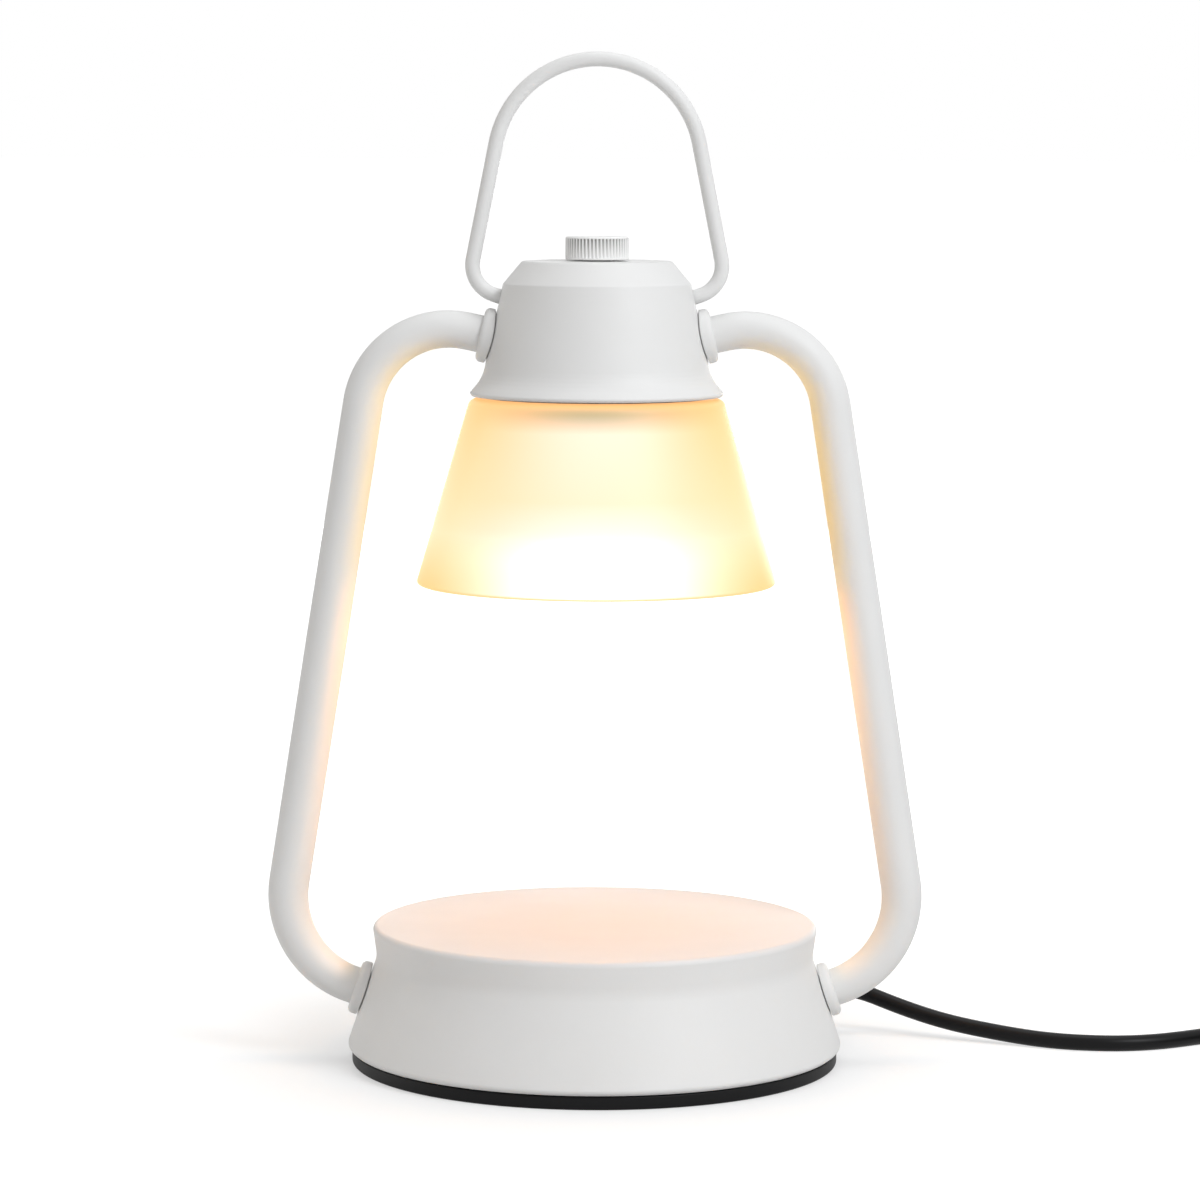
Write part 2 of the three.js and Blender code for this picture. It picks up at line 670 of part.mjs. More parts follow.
// Arms: a bend out of the base, a leaning straight and a bend over into the head.
const headCorners = [
  [HEAD_LIP_R, HEAD_Z],
  [HEAD_RIM_R, HEAD_Z + HEAD_RIM_RISE, HEAD_RIM_ROUND],
  [HEAD_BELL_R, HEAD_Z + HEAD_BELL_RISE, HEAD_BELL_ROUND],
  [HEAD_SHOULDER_R, HEAD_TOP_Z - HEAD_SHOULDER_DROP, HEAD_SHOULDER_ROUND],
  [HEAD_TOP_R, HEAD_TOP_Z, HEAD_TOP_ROUND],
  [0, HEAD_TOP_Z],
];
const headWalls = [HEAD_WALL, HEAD_WALL, HEAD_WALL, HEAD_WALL, HEAD_WALL];
const headOutline = rounded(headCorners, false);
const headInsideCorners = inset(headCorners.slice(1), headWalls.slice(1));
const headInnerOutline = [[headInsideCorners[0][0], HEAD_Z], ...headInsideCorners].map(plain);
const shrunk = inset(headCorners, headWalls.map((wall) => wall / 2));
const headMiddle = turned([new THREE.Vector2(0, HEAD_Z), ...rounded(shrunk, false)]);
const grown = inset(headCorners, headWalls.map(() => -GAP));
const headGrown = turned([new THREE.Vector2(0, HEAD_Z), ...rounded(grown, false)]);

const armHeadZ = HEAD_TOP_Z - ARM_HEAD_DROP;
const armHeadX = wallAt(headOutline, armHeadZ);
const armHeadTilt = tiltAt(headOutline, armHeadZ);
const armHeadSeat = seatMatrix(armHeadX, armHeadZ, armHeadTilt);
const shoulderOff = COLLAR_T + 2 * GAP;

const flat = (x, z) => new THREE.Vector3(x, 0, z);
const heading = (angle) => new THREE.Vector2(Math.cos(angle), Math.sin(angle));
const leftOf = (angle) => heading(angle + Math.PI / 2);

// Headings of the straight that joins two left-hand bends, from their centres.
function sharedTangent(centreA, radiusA, centreB, radiusB) {
  const between = centreB.clone().sub(centreA);
  return between.angle() - Math.asin((radiusB - radiusA) / between.length());
}

// Stations of a left-hand bend, with the tube's radius at its start, middle and end.
function bend(centre, radius, from, to, tubeRadii, step = BEND_STEP) {
  const count = Math.ceil((to - from) / step);
  const [start, middle, end] = tubeRadii;
  return Array.from({ length: count + 1 }, (_, i) => {
    const t = i / count;
    const angle = from + (to - from) * t;
    const at = centre.clone().addScaledVector(leftOf(angle), -radius);
    const early = THREE.MathUtils.lerp(start, middle, 2 * t);
    const late = THREE.MathUtils.lerp(middle, end, 2 * t - 1);
    const along = flat(...heading(angle));
    return { point: flat(at.x, at.y), along, radius: t < 1 / 2 ? early : late };
  });
}

const baseAxis = heading(armBaseTilt);
const headAxis = heading(armHeadTilt);
const baseSeat = new THREE.Vector2(armBaseX, ARM_BASE_Z);
const headSeat = new THREE.Vector2(armHeadX, armHeadZ);
const lowStart = baseSeat.clone().addScaledVector(baseAxis, shoulderOff);
const lowCentre = lowStart.clone().addScaledVector(leftOf(armBaseTilt), ARM_LOW_BEND_R);
const topEnd = headSeat.clone().addScaledVector(headAxis, shoulderOff + ARM_HEAD_STRAIGHT);
const topCentre = topEnd.clone().addScaledVector(leftOf(armHeadTilt), -ARM_TOP_BEND_R);
const armLean = sharedTangent(lowCentre, ARM_LOW_BEND_R, topCentre, ARM_TOP_BEND_R);
const headHeading = Math.PI + armHeadTilt;
const armMiddle = [
  ...bend(lowCentre, ARM_LOW_BEND_R, armBaseTilt, armLean, [
    ARM_END_R,
    ARM_LOW_BEND_TUBE_R,
    ARM_STRAIGHT_R,
  ]),
  ...bend(topCentre, ARM_TOP_BEND_R, armLean, headHeading, [
    ARM_STRAIGHT_R,
    ARM_TOP_BEND_TUBE_R,
    ARM_END_R,
  ]),
];

// A station on the axis of a seat, at a distance from the wall.
function seated(seat, axis, off, into, radius) {
  const at = seat.clone().addScaledVector(axis, off);
  return { point: flat(at.x, at.y), along: flat(axis.x * into, axis.y * into), radius };
}

const across = new THREE.Vector3(0, 1, 0);
const armStations = [
  seated(baseSeat, baseAxis, -ARM_NECK_L, 1, ARM_NECK_R),
  seated(baseSeat, baseAxis, shoulderOff, 1, ARM_NECK_R),
  ...armMiddle,
  seated(headSeat, headAxis, shoulderOff, -1, ARM_END_R),
  seated(headSeat, headAxis, shoulderOff, -1, ARM_NECK_R),
  seated(headSeat, headAxis, -ARM_NECK_L, -1, ARM_NECK_R),
];
const boreStations = [
  seated(baseSeat, baseAxis, -ARM_NECK_L - OVERRUN, 1, ARM_BORE_R),
  ...armMiddle.map((station) => ({ ...station, radius: ARM_BORE_R })),
  seated(headSeat, headAxis, -ARM_NECK_L - OVERRUN, -1, ARM_BORE_R),
];
const rightArm = cut(tube(armStations, 12, across), tube(boreStations, 6, across));
const collar = washer(ARM_NECK_R + GAP, COLLAR_R, -COLLAR_SEAT_DEPTH, COLLAR_T + GAP, COLLAR_ROUND, 2 * SMALL_ROUND);
const baseCollar = cut(collar.clone().applyMatrix4(armBaseSeat), baseGrown);
const headCollar = cut(collar.clone().applyMatrix4(armHeadSeat), headGrown);

function nut(seat, wall, insideR) {
  const top = -wall - sagitta(NUT_R, insideR) - GAP;
  const hexagon = disc(NUT_R, top - NUT_T, top, 6);
  const bore = disc(ARM_NECK_R + GAP, top - NUT_T - OVERRUN, top + OVERRUN);
  return cut(hexagon, bore).applyMatrix4(seat);
}

const baseNut = nut(armBaseSeat, BASE_WALL, armBaseX - BASE_WALL);
const headNut = nut(armHeadSeat, HEAD_WALL, armHeadX - HEAD_WALL);
["right", "left"].forEach((side) => {
  const place = (geometry) =>
    side === "right" ? geometry : geometry.clone().applyMatrix4(halfTurn);
  add(`${side}_arm`, place(rightArm), whitePaint);
  add(`collar_base_${side}`, place(baseCollar), whitePaint);
  add(`collar_head_${side}`, place(headCollar), whitePaint);
  add(`arm_nut_base_${side}`, place(baseNut), zincSteel);
  add(`arm_nut_head_${side}`, place(headNut), zincSteel);
});

// Head housing.
function headShell() {
  const shell = turned([...headInnerOutline.toReversed(), ...headOutline]);
  const post = solidOf(disc(HEAD_POST_R, PLATE_TOP_Z + GAP, HEAD_TOP_Z));
  const posts = [-HEAD_POST_Y, HEAD_POST_Y].map((y) =>
    geometryOf(post.translate([0, y, 0]).intersect(solidOf(headMiddle))),
  );
  const thread = disc(SCREW_R + GAP, PLATE_Z, PLATE_Z + PLATE_SCREW_L + OVERRUN, SCREW_ROUND);
  const threads = [-HEAD_POST_Y, HEAD_POST_Y].map((y) => moved(thread, 0, y));
  const bushingHole = disc(BUSHING_R + GAP, HEAD_CEILING_Z - OVERRUN, HEAD_TOP_Z + OVERRUN);
  const bailHole = disc(BAIL_ROD_R + BAIL_HOLE_CLEARANCE, -HEAD_RIM_R, HEAD_RIM_R)
    .rotateY(Math.PI / 2)
    .translate(0, 0, PIVOT_Z);
  return cut(join(shell, ...posts), ...threads, bushingHole, bailHole, ...armHoles(armHeadSeat));
}

add("head_shell", headShell(), whitePaint);

// Glass shade: a cone under a flat shoulder, clamped between a gasket and a ring.
const shadeOuter = [
  [SHADE_BOTTOM_R, SHADE_Z, SHADE_RIM_ROUND],
  [SHADE_TOP_R, SHADE_TOP_Z, SHADE_TOP_ROUND],
  [SHADE_HOLE_R, SHADE_TOP_Z],
];
const shadeInner = inset(shadeOuter, [SHADE_T, SHADE_T]).toReversed();
add("glass_shade", turned(rounded([...shadeOuter, ...shadeInner])), frostedGlass);
const ringTop = SHADE_TOP_Z - SHADE_T - GAP;
const ring = washer(SLEEVE_R + GAP, SHADE_RING_R, ringTop - SHADE_RING_T, ringTop, 0, ROUND / 2);
add("shade_ring", ring, zincSteel);
const gasket = washer(GASKET_IN_R, GASKET_OUT_R, GASKET_Z, GASKET_Z + GASKET_T, 0, ROUND / 2);
add("shade_gasket", gasket, silicone);

// Holder plate, sleeve and lamp holder.
const plateScrewHole = disc(SCREW_R + GAP, PLATE_Z - OVERRUN, PLATE_TOP_Z + OVERRUN, SCREW_ROUND);
const plateScrewYs = [-HEAD_POST_Y, HEAD_POST_Y];
add(
  "holder_plate",
  cut(
    washer(SLEEVE_R + GAP, PLATE_R, PLATE_Z, PLATE_TOP_Z, 0, ROUND / 2),
    ...plateScrewYs.map((y) => moved(plateScrewHole, 0, y)),
  ),
  zincSteel,
);
const plateScrew = screw(PLATE_SCREW_HEAD_R, PLATE_SCREW_HEAD_T, SCREW_R, PLATE_SCREW_L, PLATE_Z - GAP);
plateScrewYs.forEach((y, i) => {
  add(`plate_screw_${i + 1}`, plateScrew, zincSteel).position.set(0, y, 0);
});

const sleeveIn = SLEEVE_R - SLEEVE_WALL;
const flangeZ = PLATE_TOP_Z + GAP;
const sleeveOutline = [
  [sleeveIn, PLATE_Z - SLEEVE_BELOW],
  [SLEEVE_R, PLATE_Z - SLEEVE_BELOW],
  [SLEEVE_R, flangeZ],
  [SLEEVE_FLANGE_R, flangeZ],
  [SLEEVE_FLANGE_R, flangeZ + SLEEVE_FLANGE_T],
  [SLEEVE_R, flangeZ + SLEEVE_FLANGE_T],
  [SLEEVE_R, SLEEVE_TOP_Z],
  [SLEEVE_CAP_HOLE_R, SLEEVE_TOP_Z],
  [SLEEVE_CAP_HOLE_R, SLEEVE_CAP_Z],
  [sleeveIn, SLEEVE_CAP_Z],
];
const holderScrewYs = [-HOLDER_SCREW_Y, HOLDER_SCREW_Y];
const holderThread = disc(
  HOLDER_SCREW_R + GAP,
  SLEEVE_TOP_Z - HOLDER_SCREW_L - OVERRUN,
  SLEEVE_TOP_Z + OVERRUN,
  SCREW_ROUND,
);
const holderThreads = holderScrewYs.map((y) => moved(holderThread, 0, y));
const sleeve = turned(rounded(sleeveOutline), ROUND / 2);
add("holder_sleeve", cut(sleeve, ...holderThreads), zincSteel);
const pinSlot = disc(BULB_PIN_HEAD_R + GAP, HOLDER_Z - OVERRUN, BULB_NECK_TOP_Z + BULB_PIN_L + GAP);
const pinSlots = [-BULB_PIN_X, BULB_PIN_X].map((x) => moved(pinSlot, x, 0));
const holder = disc(sleeveIn - GAP, HOLDER_Z, HOLDER_TOP_Z, ROUND / 2);
add("lamp_holder", cut(holder, ...pinSlots, ...holderThreads), ceramic);
const holderScrew = screw(
  HOLDER_SCREW_HEAD_R,
  HOLDER_SCREW_HEAD_T,
  HOLDER_SCREW_R,
  HOLDER_SCREW_L,
  0,
);
holderScrew.rotateX(Math.PI).translate(0, 0, SLEEVE_TOP_Z + GAP);
holderScrewYs.forEach((y, i) => {
  add(`holder_screw_${i + 1}`, holderScrew, zincSteel).position.set(0, y, 0);
});

// Bulb: a reflector with a cover glass, a capsule and a two-pin foot.
const cupCorners = [
  [BULB_R - BULB_LIP_H / 10, BULB_Z],
  [BULB_R, BULB_Z + BULB_LIP_H],
  [BULB_R * 0.94, BULB_Z + BULB_LIP_H * 1.6],
  [BULB_R * 0.85, BULB_Z + BULB_CUP_H * 0.48],
  [BULB_R * 0.7, BULB_Z + BULB_CUP_H * 0.76],
  [BULB_NECK_R, BULB_NECK_Z],
  [CAPSULE_R + GAP, BULB_NECK_Z],
];
const cupInside = inset(cupCorners, cupCorners.slice(1).map(() => BULB_CUP_T));
cupInside[0][1] = BULB_Z;
const cup = turned(rounded([...cupCorners, ...cupInside.toReversed()]), ROUND / 2);
add("bulb_reflector", cup, mirrorCoat);
const lensR = BULB_R - BULB_LIP_H / 10 - BULB_CUP_T - 2 * GAP;
add("bulb_lens", disc(lensR, BULB_Z + GAP, BULB_Z + GAP + BULB_LENS_T, ROUND / 2), clearGlass);
add("bulb_capsule", disc(CAPSULE_R, BULB_NECK_Z - CAPSULE_L, BULB_NECK_Z, SMALL_ROUND), clearGlass);

function bulbBase() {
  const body = disc(BULB_NECK_R, BULB_NECK_Z + GAP, BULB_NECK_TOP_Z, ROUND / 2);
  const pinTop = BULB_NECK_TOP_Z + BULB_PIN_L;
  const pin = turned(
    rounded([
      [0, BULB_NECK_TOP_Z - OVERRUN],
      [BULB_PIN_R, BULB_NECK_TOP_Z - OVERRUN],
      [BULB_PIN_R, pinTop - BULB_PIN_HEAD_L],
      [BULB_PIN_HEAD_R, pinTop - BULB_PIN_HEAD_L],
      [BULB_PIN_HEAD_R, pinTop],
      [0, pinTop],
    ], false),
    SMALL_ROUND,
  );
  return join(body, moved(pin, -BULB_PIN_X, 0), moved(pin, BULB_PIN_X, 0));
}

add("bulb_base", bulbBase(), ceramic);

// Dimmer under the top of the head, and its knob above.
const bushingTop = HEAD_TOP_Z + BUSHING_H;
const shaftZ = HEAD_TOP_Z - SHAFT_DEPTH;
const knobZ = HEAD_TOP_Z + KNOB_FLOAT;
const knobTop = knobZ + KNOB_H;
const shaftTop = knobTop - SHAFT_CAP - GAP;
const dimmerOutline = [
  [0, DIMMER_Z],
  [DIMMER_R, DIMMER_Z],
  [DIMMER_R, DIMMER_TOP_Z],
  [BUSHING_R, DIMMER_TOP_Z],
  [BUSHING_R, bushingTop],
  [SHAFT_R + SHAFT_CLEARANCE, bushingTop],
  [SHAFT_R + SHAFT_CLEARANCE, shaftZ - GAP],
  [0, shaftZ - GAP],
];
add("dimmer_module", turned(rounded(dimmerOutline, false), ROUND / 2), blackPlastic);
add("dimmer_shaft", disc(SHAFT_R, shaftZ, shaftTop), brassMetal);
const spacer = washer(BUSHING_R + GAP, DIMMER_WASHER_R, HEAD_TOP_Z + GAP, HEAD_TOP_Z + GAP + DIMMER_WASHER_T);
add("dimmer_washer", spacer, zincSteel);
const dimmerNutZ = HEAD_TOP_Z + 2 * GAP + DIMMER_WASHER_T;
const bushingBore = disc(BUSHING_R + GAP, HEAD_TOP_Z, bushingTop + OVERRUN);
add(
  "dimmer_nut",
  cut(disc(DIMMER_NUT_R, dimmerNutZ, dimmerNutZ + DIMMER_NUT_T, 6), bushingBore),
  brassMetal,
);

function knob() {
  const up = new THREE.Vector3(0, 0, 1);
  const level = (z, ridge, groove) => ({
    point: new THREE.Vector3(0, 0, z),
    along: up,
    radius: [ridge, groove],
  });
  const grooveR = KNOB_R - KNURL_DEPTH;
  const topR = KNOB_R - KNOB_TOP_ROUND;
  const body = tube(
    [
      level(knobZ, grooveR, grooveR),
      level(knobZ + KNOB_BAND, KNOB_R, grooveR),
      level(knobTop - KNOB_TOP_ROUND, KNOB_R, grooveR),
      level(knobTop, topR, topR),
    ],
    2 * KNURL_COUNT,
    across,
  );
  const recess = disc(KNOB_RECESS_R, knobZ - OVERRUN, knobZ + KNOB_RECESS_H, ROUND / 2);
  return cut(body, recess, disc(SHAFT_R + GAP, knobZ - OVERRUN, knobTop - SHAFT_CAP));
}

add("dimmer_knob", knob(), whitePaint);

// Carrying handle: a bent rod that passes through the wall of the head and hooks inside.
const pivotWallX = wallAt(headOutline, PIVOT_Z) - HEAD_WALL / 2;
const bailAxis = heading(BAIL_ENTRY_TILT);
const bailSeat = new THREE.Vector2(pivotWallX, PIVOT_Z);
const bailOut = bailSeat.clone().addScaledVector(bailAxis, BAIL_OUT);
const bailCentre = bailOut.clone().addScaledVector(leftOf(BAIL_ENTRY_TILT), BAIL_LOW_BEND_R);
const bailTop = new THREE.Vector2(0, PIVOT_Z + BAIL_H - BAIL_TOP_BEND_R);
const bailLean = sharedTangent(bailCentre, BAIL_LOW_BEND_R, bailTop, BAIL_TOP_BEND_R);
const bailIn = bailSeat.clone().addScaledVector(bailAxis, -BAIL_IN);
const hookCentre = bailIn.clone().addScaledVector(leftOf(BAIL_ENTRY_TILT), BAIL_HOOK_R);
const pinX = hookCentre.x;
const pinZ = hookCentre.y - BAIL_HOOK_R;
const rod = [BAIL_ROD_R, BAIL_ROD_R, BAIL_ROD_R];
const hook = { point: flat(bailIn.x, bailIn.y), along: flat(...bailAxis), radius: BAIL_ROD_R };
const bailHalf = [
  { point: flat(pinX - BAIL_PIN_L, pinZ), along: flat(1, 0), radius: BAIL_ROD_R },
  { point: flat(pinX, pinZ), along: flat(1, 0), radius: BAIL_ROD_R },
  hook,
  ...bend(bailCentre, BAIL_LOW_BEND_R, BAIL_ENTRY_TILT, bailLean, rod, 1.4 * BEND_STEP),
  ...bend(bailTop, BAIL_TOP_BEND_R, bailLean, Math.PI, rod, BEND_STEP),
];
const bailOther = bailHalf.slice(0, -1).toReversed().map(({ point, along, radius }) => ({
  point: point.clone().multiply(new THREE.Vector3(-1, 1, 1)),
  along: along.clone().multiply(new THREE.Vector3(1, 1, -1)),
  radius,
}));
add("bail_handle", tube([...bailHalf, ...bailOther], 10, across), whitePaint);
const bailWasher = washer(
  BAIL_ROD_R + GAP,
  BAIL_WASHER_R,
  -BAIL_WASHER_T / 2,
  BAIL_WASHER_T / 2,
).rotateY(Math.PI / 2);
const washerX = pinX - BAIL_PIN_L / 2;
add("bail_washer_right", bailWasher, zincSteel).position.set(washerX, 0, pinZ);
add("bail_washer_left", bailWasher, zincSteel).position.set(-washerX, 0, pinZ);

// Leads of the lamp.
const neckOut = (seat, axis, off) => seated(seat, axis, -ARM_NECK_L - off, 1, LEAD_R).point;
const leadFront = -BLOCK_L / 2 - GAP;
const lampLeadCurve = smooth([
  new THREE.Vector3(BLOCK_X, leadFront, WIRE_Z),
  new THREE.Vector3(BLOCK_X, leadFront - LEAD_R, WIRE_Z),
  new THREE.Vector3(BLOCK_X + 2 * LEAD_R, leadFront - 4 * LEAD_R, WIRE_Z),
  new THREE.Vector3(BLOCK_X + BLOCK_WIDTH, leadFront - 4 * LEAD_R, WIRE_Z),
  new THREE.Vector3(ballastR, leadFront, WIRE_Z - LEAD_R),
  neckOut(baseSeat, baseAxis, OVERRUN * 2).setY(leadFront / 10),
  neckOut(baseSeat, baseAxis, 0),
  ...armMiddle.map(({ point }) => point),
  neckOut(headSeat, headAxis, 0),
  neckOut(headSeat, headAxis, OVERRUN),
  new THREE.Vector3(SLEEVE_R + 2.6 * LEAD_R, 2 * LEAD_R, SLEEVE_TOP_Z - 2 * LEAD_R),
  new THREE.Vector3(SLEEVE_R + LEAD_R, 3 * LEAD_R, SLEEVE_TOP_Z + LEAD_R),
  new THREE.Vector3(DIMMER_R, 3.5 * LEAD_R, SLEEVE_TOP_Z + 2 * LEAD_R),
  new THREE.Vector3(DIMMER_R / 2, 4 * LEAD_R, DIMMER_Z - LEAD_R),
  new THREE.Vector3(DIMMER_R / 2, 4 * LEAD_R, DIMMER_Z - GAP),
]);
add("lamp_lead", bar(lampLeadCurve, LEAD_R, LEAD_STEPS), blackRubber);
const switchedLeadCurve = smooth([
  new THREE.Vector3(-DIMMER_R / 3, -2 * LEAD_R, DIMMER_Z - GAP),
  new THREE.Vector3(-DIMMER_R / 3, -2 * LEAD_R, DIMMER_Z - LEAD_R),
  new THREE.Vector3(0, 0, SLEEVE_TOP_Z + LEAD_R),
  new THREE.Vector3(0, 0, HOLDER_TOP_Z + GAP),
]);
add("switched_lead", bar(switchedLeadCurve, LEAD_R, 8), blackRubber);

// Cord outside the base: from the boot to the coil.
const coilPoint = (turns) => {
  const angle = Math.PI / 2 - 2 * Math.PI * turns;
  const inner = Math.max(COIL_TURNS_IN - turns, 0);
  const outer = Math.max(turns - COIL_TURNS_IN - 1 / 2, 0);
  const climb = THREE.MathUtils.smoothstep(turns, COIL_TURNS_IN, COIL_TURNS_IN + 1 / 2);
  const climbing = THREE.MathUtils.clamp(2 * (turns - COIL_TURNS_IN), 0, 1);
  const dip = COIL_DIP * Math.sin(Math.PI * climbing);
  const radius = COIL_IN_R + COIL_PITCH * (inner + outer) - dip;
  const z = CORD_R + COIL_LIFT + COIL_PITCH * climb;
  return new THREE.Vector3(
    COIL_X + radius * Math.cos(angle),
    COIL_Y + radius * Math.sin(angle),
    z,
  );
};
const coilTurns = COIL_TURNS_IN + 1 / 2 + COIL_TURNS_OUT;
const coilSteps = Math.round(coilTurns * COIL_LOOP_STEPS);
const coilStations = Array.from({ length: coilSteps + 1 }, (_, i) => {
  const t = i / COIL_LOOP_STEPS;
  const along = coilPoint(t + 1 / 1000).sub(coilPoint(t - 1 / 1000)).normalize();
  return { point: coilPoint(t), along, radius: CORD_R };
});
const upward = new THREE.Vector3(0, 0, 1);
add("power_cord_coil", tube(coilStations, COIL_SIDES, upward), blackRubber);

const coilStart = coilPoint(0).sub(new THREE.Vector3(GAP, 0, 0));
const outerCurve = smooth([...CORD_ROUTE.map(vector), coilStart]);
const outerLength = outerCurve.getLength();
const cordOutside = stretch(outerCurve, cordStart, outerLength, 80);
add("power_cord", bar(cordOutside, CORD_R, CORD_STEPS), blackRubber);

const tailFrom = coilStations.at(-1);
const tailPoint = (s) => {
  const point = tailFrom.point.clone().addScaledVector(tailFrom.along, GAP + s * TAIL_L);
  const plugZ = PLUG_THICK / 2;
  point.z = THREE.MathUtils.lerp(tailFrom.point.z, plugZ, THREE.MathUtils.smootherstep(s, 0, 1));
  return point;
};
const tailCurve = smooth(Array.from({ length: TAIL_STEPS + 1 }, (_, i) => tailPoint(i / TAIL_STEPS)));
add("power_cord_tail", bar(tailCurve, CORD_R, TAIL_STEPS), blackRubber);

// Tie round the coil, on the side nearest the viewer.
const tieOuterR = coilPoint(COIL_TURNS_IN + 1 / 2 + 3.25).distanceTo(
  new THREE.Vector3(COIL_X, COIL_Y, coilPoint(coilTurns).z),
);
const tieInnerR = coilPoint(COIL_TURNS_IN - 1 / 4).distanceTo(
  new THREE.Vector3(COIL_X, COIL_Y, CORD_R + COIL_LIFT),
);
const tieNear = Math.sqrt((tieInnerR - CORD_R) ** 2 - (TIE_WIDTH / 2) ** 2) - 2 * GAP;
const tieFar = tieOuterR + CORD_R + 2 * GAP;
const tieTop = 2 * CORD_R + COIL_LIFT + COIL_PITCH + GAP + TIE_T;
const tieLoop = (off) =>
  rounded([
    [-tieFar - off, TIE_T - off, 2 * TIE_T + off],
    [-tieNear + off, TIE_T - off, 2 * TIE_T + off],
    [-tieNear + off, tieTop - TIE_T + off, 2 * TIE_T + off],
    [-tieFar - off, tieTop - TIE_T + off, 2 * TIE_T + off],
  ]);
const tieShape = new THREE.Shape(tieLoop(TIE_T));
tieShape.holes.push(new THREE.Path(tieLoop(0)));
const tie = new THREE.ExtrudeGeometry(tieShape, { depth: TIE_WIDTH, bevelEnabled: false });
const yzx = new THREE.Matrix4().set(0, 0, 1, 0, 1, 0, 0, 0, 0, 1, 0, 0, 0, 0, 0, 1);
tie.applyMatrix4(yzx).translate(COIL_X - TIE_WIDTH / 2, COIL_Y, 0);
add("cord_tie", tie, blackPlastic);

// Plug, in a frame whose +X runs out of the end of the cord.
const plugStart = tailPoint(1).addScaledVector(tailFrom.along, GAP);
const plugTurn = new THREE.Matrix4()
  .makeRotationZ(Math.atan2(tailFrom.along.y, tailFrom.along.x))
  .setPosition(plugStart.x, plugStart.y, PLUG_THICK / 2);
const bevel = 1.5;
const plugShape = new THREE.Shape(
  rounded([
    [bevel, -PLUG_NOSE_WIDTH / 2 + bevel, bevel],
    [PLUG_L * 0.45, -PLUG_WIDTH / 2 + bevel, PLUG_L / 4],
    [PLUG_L - bevel, -PLUG_WIDTH / 2 + bevel, 2 * bevel],
    [PLUG_L - bevel, PLUG_WIDTH / 2 - bevel, 2 * bevel],
    [PLUG_L * 0.45, PLUG_WIDTH / 2 - bevel, PLUG_L / 4],
    [bevel, PLUG_NOSE_WIDTH / 2 - bevel, bevel],
  ]),
);
const plug = new THREE.ExtrudeGeometry(plugShape, {
  depth: PLUG_THICK - 2 * bevel,
  bevelThickness: bevel,
  bevelSize: bevel,
  bevelSegments: 2,
}).translate(0, 0, bevel - PLUG_THICK / 2);
const pinHole = disc(PLUG_PIN_R + GAP, PLUG_L - OVERRUN - GAP, PLUG_L + OVERRUN).rotateY(Math.PI / 2);
const pinHoles = [-PLUG_PIN_SPREAD, PLUG_PIN_SPREAD].map((y) => moved(pinHole, 0, y));
add("plug_body", cut(plug, ...pinHoles).applyMatrix4(plugTurn), blackRubber);
const plugPin = turned(
  rounded([
    [0, PLUG_L - OVERRUN],
    [PLUG_PIN_R, PLUG_L - OVERRUN],
    [PLUG_PIN_R, PLUG_L + PLUG_PIN_L, PLUG_PIN_R / 2],
    [0, PLUG_L + PLUG_PIN_L],
  ], false),
  SMALL_ROUND,
).rotateY(Math.PI / 2);
[["left", -PLUG_PIN_SPREAD], ["right", PLUG_PIN_SPREAD]].forEach(([side, y]) => {
  add(`plug_pin_${side}`, moved(plugPin, 0, y).applyMatrix4(plugTurn), zincSteel);
});

// The coil's turns must not touch: the least distance between points a turn apart.
let coilGap = Infinity;
for (let i = 0; i < coilStations.length; i++) {
  for (let j = i + COIL_LOOP_STEPS / 2; j < coilStations.length; j++) {
    const distance = coilStations[i].point.distanceTo(coilStations[j].point);
    coilGap = Math.min(coilGap, distance - 2 * CORD_R);
  }
}
const coilLength = coilStations.reduce(
  (sum, { point }, i) => sum + (i ? point.distanceTo(coilStations[i - 1].point) : 0),
  0,
);
const triangles = lamp.children.reduce((sum, { geometry }) => {
  const corners = geometry.index ? geometry.index.count : geometry.attributes.position.count;
  return sum + corners / 3;
}, 0);
console.error(
  `coil gap ${coilGap.toFixed(2)} mm, coil ${coilLength.toFixed(0)} mm, ` +
    `cord ${outerLength.toFixed(0)} mm, ${lamp.children.length} nodes, ${triangles} triangles`,
);

export default lamp;
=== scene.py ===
# %% [markdown]
# # A candle warmer lamp
# The lamp is a small lantern. A halogen bulb in its head shines down and warms what is set on
# the base. The solid model already has every part at its real size. This lesson gives the parts
# that show fine surfaces and real finishes. A scene could also be built by hand in the viewport,
# but a script says where each number comes from and makes the same lamp every time.

# %% Load the solid model
import math

import bpy
import numpy as np
from mathutils import Matrix, Vector


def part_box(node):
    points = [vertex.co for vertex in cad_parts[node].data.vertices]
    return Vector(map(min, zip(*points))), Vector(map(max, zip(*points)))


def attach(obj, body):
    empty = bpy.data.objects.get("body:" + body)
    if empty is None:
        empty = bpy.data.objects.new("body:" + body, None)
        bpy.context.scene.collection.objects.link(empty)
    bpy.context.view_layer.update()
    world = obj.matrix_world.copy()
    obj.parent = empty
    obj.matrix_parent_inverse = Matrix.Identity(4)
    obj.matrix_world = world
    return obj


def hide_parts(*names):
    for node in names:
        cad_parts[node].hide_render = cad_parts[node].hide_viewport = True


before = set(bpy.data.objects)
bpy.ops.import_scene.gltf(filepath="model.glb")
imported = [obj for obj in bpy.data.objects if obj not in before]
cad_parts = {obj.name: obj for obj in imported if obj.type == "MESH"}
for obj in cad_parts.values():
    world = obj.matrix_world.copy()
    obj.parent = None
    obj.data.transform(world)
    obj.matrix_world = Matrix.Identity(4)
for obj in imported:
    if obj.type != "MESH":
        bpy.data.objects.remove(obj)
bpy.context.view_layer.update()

MM = 0.001

